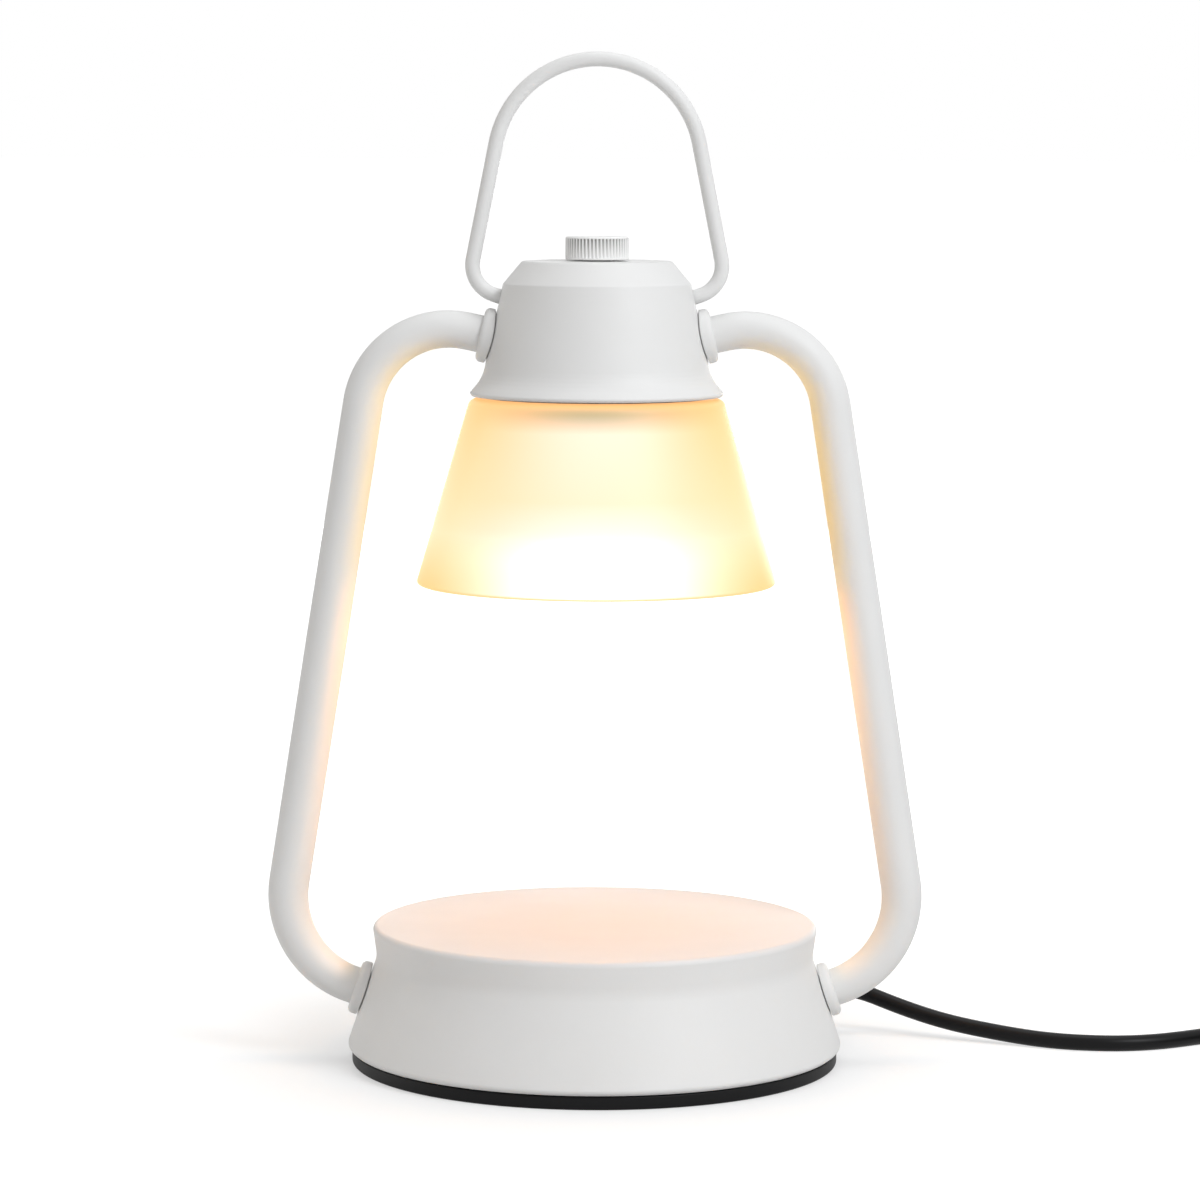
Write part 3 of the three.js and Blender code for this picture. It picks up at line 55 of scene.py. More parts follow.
# %% [markdown]
# ## Camera
# A product photographer stands well back with a long lens, so that the base doesn't look wider
# than it is. The tripod is a little higher than the lamp's head and the camera tips down about
# six degrees, which shows the top of the base as a thin ellipse. The camera comes before the
# pieces, because it decides how much detail a piece needs.

# %% Set up the camera
camera_data = bpy.data.cameras.new("product_camera")
camera_data.lens = 135.2
camera_data.sensor_width = 36
camera = bpy.data.objects.new("product_camera", camera_data)
bpy.context.scene.collection.objects.link(camera)
camera.location = (0.0012, -1.3591, 0.2802)
tilt, roll = Matrix.Rotation(math.pi / 2 - 0.1018, 3, "X"), Matrix.Rotation(0.0038, 3, "Z")
camera.rotation_euler = (tilt @ roll).to_euler()
bpy.context.scene.camera = camera

# %% [markdown]
# ## Tools for surfaces
# Sheet metal, glass and bent tube all come from a few motions: an outline that is spun, or a
# section that is carried along a path. Each is a function of two parameters, so each is worked
# out as one array of points. Blender's Screw and Curve objects could do the same, but arrays
# give the exact corner radii and let a formula change the surface, as on the knob.

# %% Turn a grid of points into a closed mesh
def piece_from_grid(name, grid, loop=False):
    """Rows of points, each row a closed ring. A quad joins each four neighbours. With loop the
    last row meets the first, and otherwise a fan of triangles closes each end."""
    rows, columns, _ = grid.shape
    index = np.arange(rows * columns).reshape(rows, columns)
    if loop:
        index = np.vstack([index, index[:1]])
    right = np.roll(index, -1, axis=1)
    quads = np.stack([index[:-1], right[:-1], right[1:], index[1:]], axis=-1).reshape(-1, 4)
    points = grid.reshape(-1, 3)
    faces = quads.tolist()
    if not loop:
        points = np.vstack([points, grid[0].mean(axis=0), grid[-1].mean(axis=0)])
        first, last = len(points) - 2, len(points) - 1
        start = np.column_stack([right[0], index[0], np.full(columns, first)])
        end = np.column_stack([index[-1], right[-1], np.full(columns, last)])
        faces += start.tolist() + end.tolist()
    mesh = bpy.data.meshes.new(name)
    mesh.from_pydata((points * MM).tolist(), [], faces)
    piece = bpy.data.objects.new(name, mesh)
    bpy.context.scene.collection.objects.link(piece)
    face_outwards(mesh)
    mesh.shade_smooth()
    mesh.set_sharp_from_angle(angle=math.radians(38))
    return piece


def face_outwards(mesh):
    """The signed volume is the sum of a . (b x c) / 6 over all triangles. If it is negative, the
    faces look inwards and are turned round."""
    mesh.calc_loop_triangles()
    corners = np.empty(len(mesh.loop_triangles) * 3, dtype=np.int64)
    mesh.loop_triangles.foreach_get("vertices", corners)
    points = np.empty(len(mesh.vertices) * 3)
    mesh.vertices.foreach_get("co", points)
    a, b, c = points.reshape(-1, 3)[corners.reshape(-1, 3)].transpose(1, 0, 2)
    volume = np.einsum("ij,ij->i", a, np.cross(b, c)).sum() / 6
    if volume < 0:
        mesh.flip_normals()
    mesh["volume_cm3"] = abs(volume) * 1e6


# %% [markdown]
# ## Outlines with rounded corners
# A press tool can't make a knife edge: every corner of the sheet metal has a radius, and light
# runs along that radius as a thin line. A bevel modifier could round the corners, but all with
# one radius. Here each corner of an outline names its own.

# %% Round the corners of an outline
def eased(corners, closed=False, step=math.radians(7)):
    """Each corner (x, y, round) is replaced by the arc of that radius that touches both of its
    edges: the arc starts round / tan(half the corner's angle) before the corner."""
    corners = [(*corner, 0)[:3] for corner in corners]
    parts = []
    for i, (x, y, radius) in enumerate(corners):
        here = np.array([x, y], dtype=float)
        if not radius or (not closed and i in (0, len(corners) - 1)):
            parts.append(here[None])
            continue
        before = np.array(corners[i - 1][:2]) - here
        after = np.array(corners[(i + 1) % len(corners)][:2]) - here
        room = min(np.hypot(*before), np.hypot(*after)) / 2
        before, after = before / np.hypot(*before), after / np.hypot(*after)
        half = math.acos(np.clip(before @ after, -1, 1)) / 2
        reach = min(radius / math.tan(half), room)
        radius = reach * math.tan(half)
        middle = (before + after) / np.hypot(*(before + after))
        centre = here + middle * radius / math.sin(half)
        start, end = here + before * reach - centre, here + after * reach - centre
        turn = math.atan2(start[0] * end[1] - start[1] * end[0], start @ end)
        angle = np.linspace(0, turn, max(2, round(abs(turn) / step) + 1))
        swing = np.array([[np.cos(angle), -np.sin(angle)], [np.sin(angle), np.cos(angle)]])
        parts.append(centre + np.einsum("ijk,j->ki", swing, start))
    return np.vstack(parts)


def supported(outline, closed=False, margin=0.35):
    """Adds a point a little way in from each end of a long straight run, so that smooth shading
    bends only at the corner and the flat stays flat."""
    ends = np.roll(outline, -1, axis=0) if closed else outline[1:]
    starts = outline if closed else outline[:-1]
    length = np.hypot(*(ends - starts).T)
    share = np.minimum(margin / np.maximum(length, 1e-9), 0.5)[:, None]
    near, far = starts + (ends - starts) * share, ends + (starts - ends) * share
    long = length > 3 * margin
    runs = [np.vstack([s, n, f]) if keep else s[None]
            for s, n, f, keep in zip(starts, near, far, long)]
    return np.vstack(runs if closed else [*runs, outline[-1:]])


# %% Spin an outline
def spun(name, outline, closed=False, sides=160):
    """A point (r, z) of the outline at angle a goes to (r cos a, r sin a, z). A closed outline
    gives a ring with a wall all round, an open one runs from axis to axis."""
    outline = supported(np.asarray(outline, dtype=float), closed)
    if not closed:
        outline = outline[outline[:, 0] > 1e-6]
    angle = np.arange(sides) * 2 * np.pi / sides
    radius, height = outline[:, :1], outline[:, 1:]
    around = [radius * np.cos(angle), radius * np.sin(angle), height + 0 * angle]
    return piece_from_grid(name, np.stack(around, axis=-1), loop=closed)


# %% Carry a section along a path
def along(path):
    """Distance from the start to each point of a path."""
    steps = np.linalg.norm(np.diff(path, axis=0), axis=1)
    return np.concatenate([[0], np.cumsum(steps)])


def swept(name, path, section, sideways, loop=False, scale=None):
    """At each point of the path the section's x lies along (sideways x tangent) and its y along
    what is square to both. scale widens the section from point to point."""
    if loop:
        tangent = np.roll(path, -1, axis=0) - np.roll(path, 1, axis=0)
    else:
        tangent = np.gradient(path, axis=0)
    tangent /= np.linalg.norm(tangent, axis=1)[:, None]
    across = np.cross(np.asarray(sideways, dtype=float), tangent)
    across /= np.linalg.norm(across, axis=1)[:, None]
    up = np.cross(tangent, across)
    scale = np.ones(len(path)) if scale is None else scale
    x = section[:, 0][None, :, None] * scale[:, None, None]
    y = section[:, 1][None, :, None] * scale[:, None, None]
    grid = path[:, None, :] + x * across[:, None, :] + y * up[:, None, :]
    return piece_from_grid(name, grid, loop=loop)


def circle(sides):
    """Points (cos a, sin a) of a circle of radius 1."""
    angle = np.arange(sides) * 2 * np.pi / sides
    return np.column_stack([np.cos(angle), np.sin(angle)])


# %% [markdown]
# ## Tools for finishes
# Every finish starts from one physical shader, whose numbers come from the material: index of
# refraction, roughness and whether it is a metal. What makes it look real is the small unevenness
# of how it was made, which noise at the right size in millimetres gives. Photographs wrapped on
# the surface could do that too, but noise needs no seams and works on any piece.

# %% One function adds a node
def node(tree, kind, inputs=None, stops=(), **settings):
    """Adds a shader node, sets its properties, and fills or links its inputs. The stops of a
    colour ramp are pairs of position and hex colour."""
    made = tree.nodes.new("ShaderNode" + kind)
    for key, value in settings.items():
        setattr(made, key, value)
    for key, value in (inputs or {}).items():
        if isinstance(value, bpy.types.NodeSocket):
            tree.links.new(value, made.inputs[key])
        else:
            made.inputs[key].default_value = value
    if stops:
        elements = made.color_ramp.elements
        while len(elements) < len(stops):
            elements.new(0.5)
        for element, (position, colour) in zip(elements, stops):
            element.position = position
            element.color = linear(colour)
    return made


def linear(hex_colour):
    """sRGB hex to linear light: c / 12.92 when dark, else ((c + 0.055) / 1.055) ** 2.4."""
    srgb = np.array([int(hex_colour[i : i + 2], 16) for i in (1, 3, 5)]) / 255
    light = np.where(srgb <= 0.04045, srgb / 12.92, ((srgb + 0.055) / 1.055) ** 2.4)
    return (*light.tolist(), 1)


# %% A finish with grain
def finish(name, light, dark, patch_mm, grain_mm, grain_depth_mm, roughness, uneven, **sockets):
    """Colour drifts from light to dark in soft patches, and a fine grain raises the surface by
    its depth. Roughness drifts with the same patches."""
    material = bpy.data.materials.new(name)
    material.use_nodes = True
    tree = material.node_tree
    tree.nodes.clear()
    place = node(tree, "TexCoord").outputs["Object"]
    patches = node(tree, "TexNoise", {"Vector": place, "Scale": 1 / (patch_mm * MM), "Detail": 3.0})
    grain = node(tree, "TexNoise", {"Vector": place, "Scale": 1 / (grain_mm * MM), "Detail": 2.0})
    shades = {0: patches.outputs[0], 6: linear(light), 7: linear(dark)}
    colour = node(tree, "Mix", shades, data_type="RGBA")
    rough = node(
        tree,
        "MapRange",
        {0: patches.outputs[0], 3: roughness - uneven, 4: roughness + uneven},
    )
    bump = node(
        tree, "Bump", {"Height": grain.outputs[0], "Distance": grain_depth_mm * MM, "Strength": 1.0}
    )
    shader = node(
        tree,
        "BsdfPrincipled",
        {
            "Base Color": colour.outputs[2],
            "Roughness": rough.outputs[0],
            "Normal": bump.outputs[0],
            **sockets,
        },
    )
    node(tree, "OutputMaterial", {"Surface": shader.outputs[0]})
    return material


# %% [markdown]
# ## Paint, plastic and rubber
# The housing is steel with a white polyester powder coat. The powder melts into a tough skin
# with a very fine orange peel, which the eye reads as matte and slightly soft at the edges.
# The foot ring and the cord are soft black plastics: PVC round the wires has a low sheen, and
# the rubber of the foot is duller, with a little dust in its grain.

# %% Mix the paint, plastics and rubber
powder_coat = finish(
    "polyester_powder_coat", "#E4E4E3", "#DFDFDE", 22, 0.9, 0.010, 0.52, 0.03, IOR=1.5
)
dull = {"IOR": 1.52, "Specular IOR Level": 0.14}
foot_rubber = finish("moulded_rubber", "#0E0E0F", "#151516", 9, 0.7, 0.012, 0.50, 0.05, **dull)
cord_pvc = finish("extruded_pvc", "#0B0B0C", "#101011", 14, 0.6, 0.006, 0.38, 0.05, **dull)
moulded_pvc = finish("moulded_pvc", "#0E0E0F", "#141415", 8, 0.5, 0.010, 0.44, 0.05, **dull)
tie_nylon = finish(
    "hook_and_loop_nylon", "#141415", "#242426", 1.1, 0.5, 0.12, 0.85, 0.05, IOR=1.53
)
terminal_nylon = finish(
    "natural_nylon", "#DEDBD2", "#D2CEC3", 6, 0.5, 0.010, 0.45, 0.04, IOR=1.53
)
dimmer_plastic = finish(
    "phenolic_moulding", "#19191A", "#222223", 5, 0.4, 0.010, 0.45, 0.04, IOR=1.6
)

# %% [markdown]
# ## Metals and ceramics
# Nuts, screws and the cover are zinc plated, which leaves a cool grey with cloudy patches. The
# ballast is cast iron, rough from the sand mould. The lamp holder and the foot of the bulb are
# steatite, an off-white ceramic that stands the heat. A metal keeps the default index of
# refraction, because its colour and roughness say everything that shows.

# %% Mix the metals and ceramics
zinc_plate = finish(
    "zinc_plated_steel", "#B4B8BC", "#9CA0A5", 3, 0.35, 0.004, 0.34, 0.08, Metallic=1.0
)
sand_iron = finish("sand_cast_iron", "#55565A", "#434448", 5, 1.2, 0.08, 0.62, 0.08, Metallic=1.0)
brass_turned = finish("turned_brass", "#C8A45C", "#B28E48", 4, 0.3, 0.004, 0.3, 0.06, Metallic=1.0)
pin_nickel = finish(
    "nickel_plated_brass", "#C9C7C1", "#B8B5AE", 4, 0.3, 0.003, 0.22, 0.05, Metallic=1.0
)
steatite = finish("steatite_ceramic", "#EDE8DC", "#E2DCCE", 6, 0.5, 0.010, 0.42, 0.05, IOR=1.56)
silicone = finish("silicone_rubber", "#D6D3CC", "#C9C6BF", 6, 0.6, 0.008, 0.6, 0.04, IOR=1.41)
mirror_film = finish(
    "aluminised_glass", "#DADDE1", "#CFD3D8", 7, 1.5, 0.006, 0.14, 0.03, Metallic=1.0
)

# %% [markdown]
# ## Lit glass
# The shade is cased glass with a satin-etched face. Light from the bulb scatters in it, so it
# glows: nearly white low down, where the beam starts, and honey coloured near the shoulder and
# the rim, where the light has gone through more glass. A full simulation of that scattering is
# slow and noisy. Here the scattering is a glow whose colour follows the height on the shade,
# under a rough glass that still lets the bulb shine through. Its colours are those of light at
# a temperature, by Planck's law: amber 3000 K, honey 3300 K, cream 4200 K, warm white 5000 K,
# ivory 5500 K and white 6500 K. Thicker glass in the line of sight makes the light look warmer.

# %% Mix the glass of the shade
def etched_glass():
    """Glow = mix(edge(height), centre(height), square ** 3.8), where square runs from 0 where the
    glass is seen at a slant to 1 where it is seen face on. The face-on centre is a painted
    highlight where the bulb's light shows through, and its grey-green stop near the top is a
    painted shadow of the clamp ring. Low down, where the beam starts, the strength of the glow
    grows from 0.9 by up to 0.63 * square ** 3.8."""
    material = bpy.data.materials.new("satin_etched_glass")
    material.use_nodes = True
    tree = material.node_tree
    tree.nodes.clear()
    place = node(tree, "TexCoord").outputs["Object"]
    height = node(tree, "SeparateXYZ", {0: place}).outputs["Z"]
    low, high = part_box("glass_shade")
    share = node(tree, "MapRange", {0: height, 1: low.z, 2: high.z}).outputs[0]
    amber, honey, cream = "#FFB96E", "#FFC280", "#FFD8AF"
    warm, ivory, white = "#FFE7D0", "#FFEEE1", "#FFF9FE"
    clamp_shadow = "#90A088"
    edge = [(0.0, amber), (0.3, cream), (1.0, honey)]
    edge = node(tree, "ValToRGB", {0: share}, stops=edge).outputs[0]
    centre = [(0.3, white), (0.5, warm), (0.85, ivory), (0.95, clamp_shadow)]
    centre = node(tree, "ValToRGB", {0: share}, stops=centre).outputs[0]
    slant = node(tree, "LayerWeight", {"Blend": 0.5}).outputs["Facing"]
    square = node(tree, "Math", {0: 1.0, 1: slant}, operation="SUBTRACT").outputs[0]
    square = node(tree, "Math", {0: square, 1: 3.8}, operation="POWER").outputs[0]
    glow = node(tree, "Mix", {0: square, 6: edge, 7: centre}, data_type="RGBA").outputs[2]
    beam = {0: share, 1: 0.16, 2: 0.36, 3: 0.63, 4: 0.0}
    hot = node(tree, "MapRange", beam, interpolation_type="SMOOTHSTEP")
    hot = node(tree, "Math", {0: hot.outputs[0], 1: square}, operation="MULTIPLY").outputs[0]
    power = node(tree, "Math", {0: hot, 1: 0.9}, operation="ADD").outputs[0]
    shader = node(
        tree,
        "BsdfPrincipled",
        {
            "Base Color": linear("#9A7A55"),
            "Roughness": 0.45,
            "IOR": 1.5,
            "Specular IOR Level": 0.25,
            "Transmission Weight": 0.25,
            "Emission Color": glow,
            "Emission Strength": power,
        },
    )
    node(tree, "OutputMaterial", {"Surface": shader.outputs[0]})
    return material


def lit_glass(name, colour, strength, roughness):
    """Clear glass of the bulb, bright with the light that passes through it."""
    material = bpy.data.materials.new(name)
    material.use_nodes = True
    shader = material.node_tree.nodes["Principled BSDF"]
    shader.inputs["Base Color"].default_value = linear(colour)
    shader.inputs["Roughness"].default_value = roughness
    shader.inputs["Transmission Weight"].default_value = 0.8
    shader.inputs["Emission Color"].default_value = linear(colour)
    shader.inputs["Emission Strength"].default_value = strength
    return material


shade_glass = etched_glass()
lens_glass = lit_glass("halogen_cover_glass", "#FFE3AE", 3.0, 0.25)
capsule_glass = lit_glass("quartz_capsule", "#FFF0CC", 6.0, 0.1)


# %% Give a piece its finish and its body
def settle(piece, material, slot, body, *solids):
    """The piece takes a finish, moves with a body and stands for the named solids."""
    piece.data.materials.append(material)
    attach(piece, body)
    if solids:
        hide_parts(*solids)
    print(f"{piece.name}: {len(piece.data.polygons)} faces, {piece.data['volume_cm3']:.2f} cm3")


# %% [markdown]
# ## Mains cord
# About 1.77 m of round black cord leaves the back of the base on its right, bends round to the
# front, drops to the table and runs out of view. The rest is put away: a neat coil in two
# layers, with a tie and the plug. A cord could be draped by a simulation, but a cord that lies
# on a table is known exactly: a smooth line through a few chosen places, then a spiral.

# %% Route the cord
CORD_R = 2.5
ROUTE = np.array([
    [62.7, 36.2, 14.5], [67.5, 39.0, 14.5], [72.3, 41.7, 14.4], [77.1, 43.7, 14.0],
    [82.3, 44.4, 13.2], [86.5, 43.9, 12.1], [90.4, 42.6, 10.8], [100.0, 38.3, 7.9],
    [111.0, 33.3, 5.4], [123.0, 27.7, 3.8], [136.0, 21.8, 2.7], [144.0, 18.2, 2.5],
    [151.0, 16.0, 2.5], [157.5, 15.0, 2.5], [164.0, 15.1, 2.5], [176.0, 18.5, 2.5],
    [189.1, 26.3, 2.5], [200.0, 32.6, 2.5], [212.0, 37.5, 2.6], [223.0, 40.3, 3.2],
    [229.5, 41.1, 3.6], [234.7, 41.1, 3.6],
])
COIL_AT = np.array([240.0, 0.0])
COIL_IN, COIL_OUT, PITCH, INNER_R, LIFT, DIP = 3.75, 3 + 11 / 12, 5.5, 20.5, 1.1, 1.2


def smooth_line(points, count):
    """Cubic spline: between neighbours the line is a cubic, and slope and curvature carry on
    from one to the next. The second derivatives come from one linear system."""
    at = along(points)
    gap = np.diff(at)
    size = len(points)
    system, right = np.eye(size), np.zeros((size, 3))
    inner = np.arange(1, size - 1)
    system[inner, inner - 1] = gap[:-1]
    system[inner, inner] = 2 * (gap[:-1] + gap[1:])
    system[inner, inner + 1] = gap[1:]
    slope = np.diff(points, axis=0) / gap[:, None]
    right[inner] = 6 * (slope[1:] - slope[:-1])
    bend = np.linalg.solve(system, right)
    s = np.linspace(0, at[-1], count)
    k = np.clip(np.searchsorted(at, s, side="right") - 1, 0, size - 2)
    h, u, v = gap[k][:, None], (at[k + 1] - s)[:, None], (s - at[k])[:, None]
    return (
        bend[k] * u**3 / (6 * h)
        + bend[k + 1] * v**3 / (6 * h)
        + (points[k] / h - bend[k] * h / 6) * u
        + (points[k + 1] / h - bend[k + 1] * h / 6) * v
    )


def coil_line(turns):
    """Clockwise spiral: the radius shrinks by one pitch a turn on the lower layer, the cord
    climbs a pitch in half a turn, and the radius grows again on the upper layer."""
    angle = np.pi / 2 - 2 * np.pi * turns
    reach = np.maximum(COIL_IN - turns, 0) + np.maximum(turns - COIL_IN - 0.5, 0)
    share = np.clip(2 * (turns - COIL_IN), 0, 1)
    climb = share * share * (3 - 2 * share)
    radius = INNER_R + PITCH * reach - DIP * np.sin(np.pi * share)
    height = CORD_R + LIFT + PITCH * climb
    x, y = COIL_AT[0] + radius * np.cos(angle), COIL_AT[1] + radius * np.sin(angle)
    return np.column_stack([x, y, height])


all_turns = COIL_IN + 0.5 + COIL_OUT
coil = coil_line(np.linspace(0, all_turns, round(all_turns * 44) + 1))
out = coil[-1] - coil[-2]
out /= np.linalg.norm(out)
TAIL, PLUG_THICK = 32.6, 13.6
share = np.linspace(0, 1, 14)[1:]
tail = coil[-1] + out * share[:, None] * TAIL
ease = share**3 * (share * (share * 6 - 15) + 10)
tail[:, 2] = coil[-1, 2] + (PLUG_THICK / 2 - coil[-1, 2]) * ease
lead = smooth_line(np.vstack([ROUTE, coil[:1]]), 120)
line = np.vstack([lead[:-1], coil, tail])
hidden = 12.0
steps = np.arange(hidden, along(line)[-1], 2.6)
cord_path = np.column_stack([np.interp(steps, along(line), line[:, k]) for k in range(3)])
cord_path = np.vstack([cord_path, line[-1:]])
print(f"cord: {along(cord_path)[-1]:.0f} mm, of which coil {along(coil)[-1]:.0f} mm")

# %% Make the cord
power_cord = swept("mains_cord", cord_path, circle(18) * CORD_R, (0, 0, 1))
solid_cord = ("power_cord", "power_cord_coil", "power_cord_tail")
settle(power_cord, cord_pvc, "black_rubber", "lamp", *solid_cord)

# %% [markdown]
# ## Strain relief
# Where the cord leaves the metal, a soft boot is moulded round it. It spreads the bend, so the
# wires don't break at the edge of the hole. Its grooves let it flex. It is the cord's own path
# with a fatter section, whose radius goes up and down along the way.

# %% Make the boot
boot_line = np.vstack([ROUTE[0] - (ROUTE[1] - ROUTE[0]) * 0.35, lead])
far = np.linspace(0, 21.5, 110)
boot_path = np.column_stack([np.interp(far, along(boot_line), boot_line[:, k]) for k in range(3)])
taper = np.interp(far, [0, 3.2, 3.6, 20.6, 21.5], [6.2, 6.2, 4.6, 3.15, 2.75])
grooves = 0.55 * np.clip(np.cos(2 * np.pi * (far - 6.0) / 2.6), 0, 1) ** 0.6
grooves *= (far > 5.2) & (far < 19.4)
boot_radius = taper - grooves
boot = swept("cord_boot", boot_path, circle(40), (0, 0, 1), scale=boot_radius)
settle(boot, moulded_pvc, "black_rubber", "lamp", "strain_relief")

# %% [markdown]
# ## Cord tie, plug and pins
# A strip of hook-and-loop tape holds the coil. The plug is the flat two-pin kind, moulded onto
# the cord, wider at its face so that fingers get a grip. Both are sections carried along a line:
# the tape round a rounded rectangle, the plug's rounded section along its own axis.

# %% Make the tie
UPPER_TURN = COIL_IN + 0.5 + 3.25
tie_far = np.hypot(*(coil_line(np.array([UPPER_TURN]))[0, :2] - COIL_AT)) + CORD_R + 0.6
tie_near_turn = np.hypot(*(coil_line(np.array([COIL_IN - 0.25]))[0, :2] - COIL_AT)) - CORD_R
TAPE_WIDTH, TAPE_T = 9.0, 0.8
tie_near = math.sqrt(tie_near_turn**2 - (TAPE_WIDTH / 2) ** 2) - 0.6
tie_top = 2 * CORD_R + LIFT + PITCH + 0.3 + TAPE_T
mid, half_tape = TAPE_T / 2, TAPE_WIDTH / 2
around = eased(
    [
        (-tie_far - mid, mid, 2.0),
        (-tie_near + mid, mid, 2.0),
        (-tie_near + mid, tie_top - mid, 2.0),
        (-tie_far - mid, tie_top - mid, 2.0),
    ],
    closed=True,
)
around = supported(around, closed=True, margin=1.0)
tape_path = np.column_stack([np.full(len(around), COIL_AT[0]), around[:, 0], around[:, 1]])
tape_section = [
    (-mid, -half_tape, 0.3), (mid, -half_tape, 0.3), (mid, half_tape, 0.3),
    (-mid, half_tape, 0.3),
]
tape_section = eased(tape_section, closed=True)
tie = swept("cord_tie_tape", tape_path, tape_section, (1, 0, 0), loop=True)
settle(tie, tie_nylon, "black_plastic", "lamp", "cord_tie")

# %% Make the plug
PLUG_L, PLUG_W = 36.0, 34.0
NOSE_HALF_W, NOSE_HALF_H, EDGE_R = 5.4, 4.9, 1.5
UP = np.array([0, 0, 1.0])
heading = np.array([out[0], out[1], 0]) / np.hypot(out[0], out[1])
sideways = np.array([-heading[1], heading[0], 0])
plug_start = tail[-1] + heading * 0.05
plug_start[2] = PLUG_THICK / 2


def plug_grid():
    """Superellipse |x/a|^n + |z/b|^n = 1 at each distance from the cord, where a, b and n grow
    from the round nose to the flat face, and fall off over the rounded edge at both ends."""
    far = np.concatenate([
        EDGE_R * (1 - np.cos(np.linspace(0, np.pi / 2, 8))),
        np.linspace(2.2, PLUG_L - 2.2, 70),
        PLUG_L - EDGE_R * (1 - np.sin(np.linspace(0, np.pi / 2, 8))),
    ])
    share = np.clip(far / (0.5 * PLUG_L), 0, 1)
    swell = share * share * (3 - 2 * share)
    edge = EDGE_R - np.minimum(far, PLUG_L - far).clip(0, EDGE_R)
    lost = EDGE_R - np.sqrt(np.maximum(EDGE_R**2 - edge**2, 0))
    half_width = NOSE_HALF_W + (PLUG_W / 2 - NOSE_HALF_W) * swell - lost
    half_height = NOSE_HALF_H + (PLUG_THICK / 2 - NOSE_HALF_H) * swell - lost
    ribs = 0.45 * np.clip(np.cos(2 * np.pi * (far - 20.0) / 3.0), 0, 1)
    half_height = half_height - ribs * ((far > 15) & (far < 27))
    power = 2.2 + 2.3 * swell
    angle = np.arange(96) * 2 * np.pi / 96
    c, s = np.cos(angle), np.sin(angle)
    x = np.sign(c) * np.abs(c) ** (2 / power[:, None]) * half_width[:, None]
    z = np.sign(s) * np.abs(s) ** (2 / power[:, None]) * half_height[:, None]
    return (
        plug_start
        + far[:, None, None] * heading
        + x[..., None] * sideways
        + z[..., None] * UP
    )


plug = piece_from_grid("mains_plug", plug_grid())
settle(plug, moulded_pvc, "black_rubber", "lamp", "plug_body")

# %% Make the pins
PIN_R, PIN_FROM, PIN_TO, PIN_OFF = 2.0, 33.5, 55, 9.5
pin_outline = eased([(0, PIN_FROM), (PIN_R, PIN_FROM), (PIN_R, PIN_TO, 1.1), (0, PIN_TO)])
distance = pin_outline[pin_outline[:, 0] > 0]
ring = circle(28)
for side, offset in (("left", -PIN_OFF), ("right", PIN_OFF)):
    spot = plug_start + sideways * offset
    grid = (
        spot
        + distance[:, None, 1:] * heading
        + distance[:, None, :1] * (ring[None, :, :1] * sideways + ring[None, :, 1:] * UP)
    )
    pin = piece_from_grid(f"plug_contact_{side}", grid)
    settle(pin, pin_nickel, "zinc_steel", "lamp", f"plug_pin_{side}")

# %% [markdown]
# ## Base
# The base is one pressing of thin steel: a flat top to set things on, a waist and a skirt that
# flares to the foot. Inside are the ballast and the wiring, so the lamp is heavy low down. Its
# outline has its own radius at each corner. It runs from the axis over the top, round the lip
# and back to the axis under the ceiling, so one spin gives both faces of the sheet and leaves
# the mouth open. The black ring below it keeps the lamp from sliding.

# %% Draw the outline of the base
BASE_TOP, LIP = 42.3, 4.3
base_outline = eased(
    [(74.0, LIP), (75.4, 5.4, 2.4), (66.45, 32.3, 8.0), (67.85, BASE_TOP, 1.6), (0, BASE_TOP)]
)
base_inside = eased(
    [(0, 40.1), (66.3, 40.1, 1.5), (64.6, 32.1, 9.0), (73.4, 5.7, 0.9), (73.2, LIP)]
)
base_wall = np.vstack([base_outline[::-1], base_inside[::-1]])


def wall_radius(outline, height):
    """Distance of an outline from the axis at a height, between its points."""
    rising = outline[:, 0] > 0
    r, z = outline[rising, 0], outline[rising, 1]
    return np.interp(height, z, r)


# %% Make the base and its foot
housing = spun("base_housing", base_wall, sides=224)
settle(housing, powder_coat, "white_paint", "lamp", "base_shell")
foot_outline = eased(
    [(66, 0, 0.8), (74, 0, 0.9), (74, 4.0, 0.5), (66, 4.0, 0.5)], closed=True
)
foot = spun("foot_band", foot_outline, closed=True, sides=224)
settle(foot, foot_rubber, "black_rubber", "lamp", "foot_ring")

# %% [markdown]
# ## Arms
# Each arm is a steel tube, bent twice on a tube bender and slightly thinner where it enters the
# housings. Its middle line is two arcs and the straight line that touches both. The line could
# be drawn as a curve object, but here its bends start exactly where the walls of the base and
# the head say, and the tube's radius changes a little along the way, as it does on the real one.

# %% Bend a line
def heading_of(angle):
    return np.array([math.cos(angle), math.sin(angle)])


def left_of(angle):
    return heading_of(angle + math.pi / 2)


def arc(centre, radius, start, end, count):
    """Points of a left-hand bend between two headings: centre - radius * left(heading)."""
    angle = np.linspace(start, end, count)
    return centre - radius * np.column_stack([-np.sin(angle), np.cos(angle)])


def touching(centre_a, radius_a, centre_b, radius_b):
    """Heading of the straight line that leaves one left-hand bend and enters another."""
    between = centre_b - centre_a
    swerve = math.asin((radius_b - radius_a) / np.hypot(*between))
    return math.atan2(between[1], between[0]) - swerve


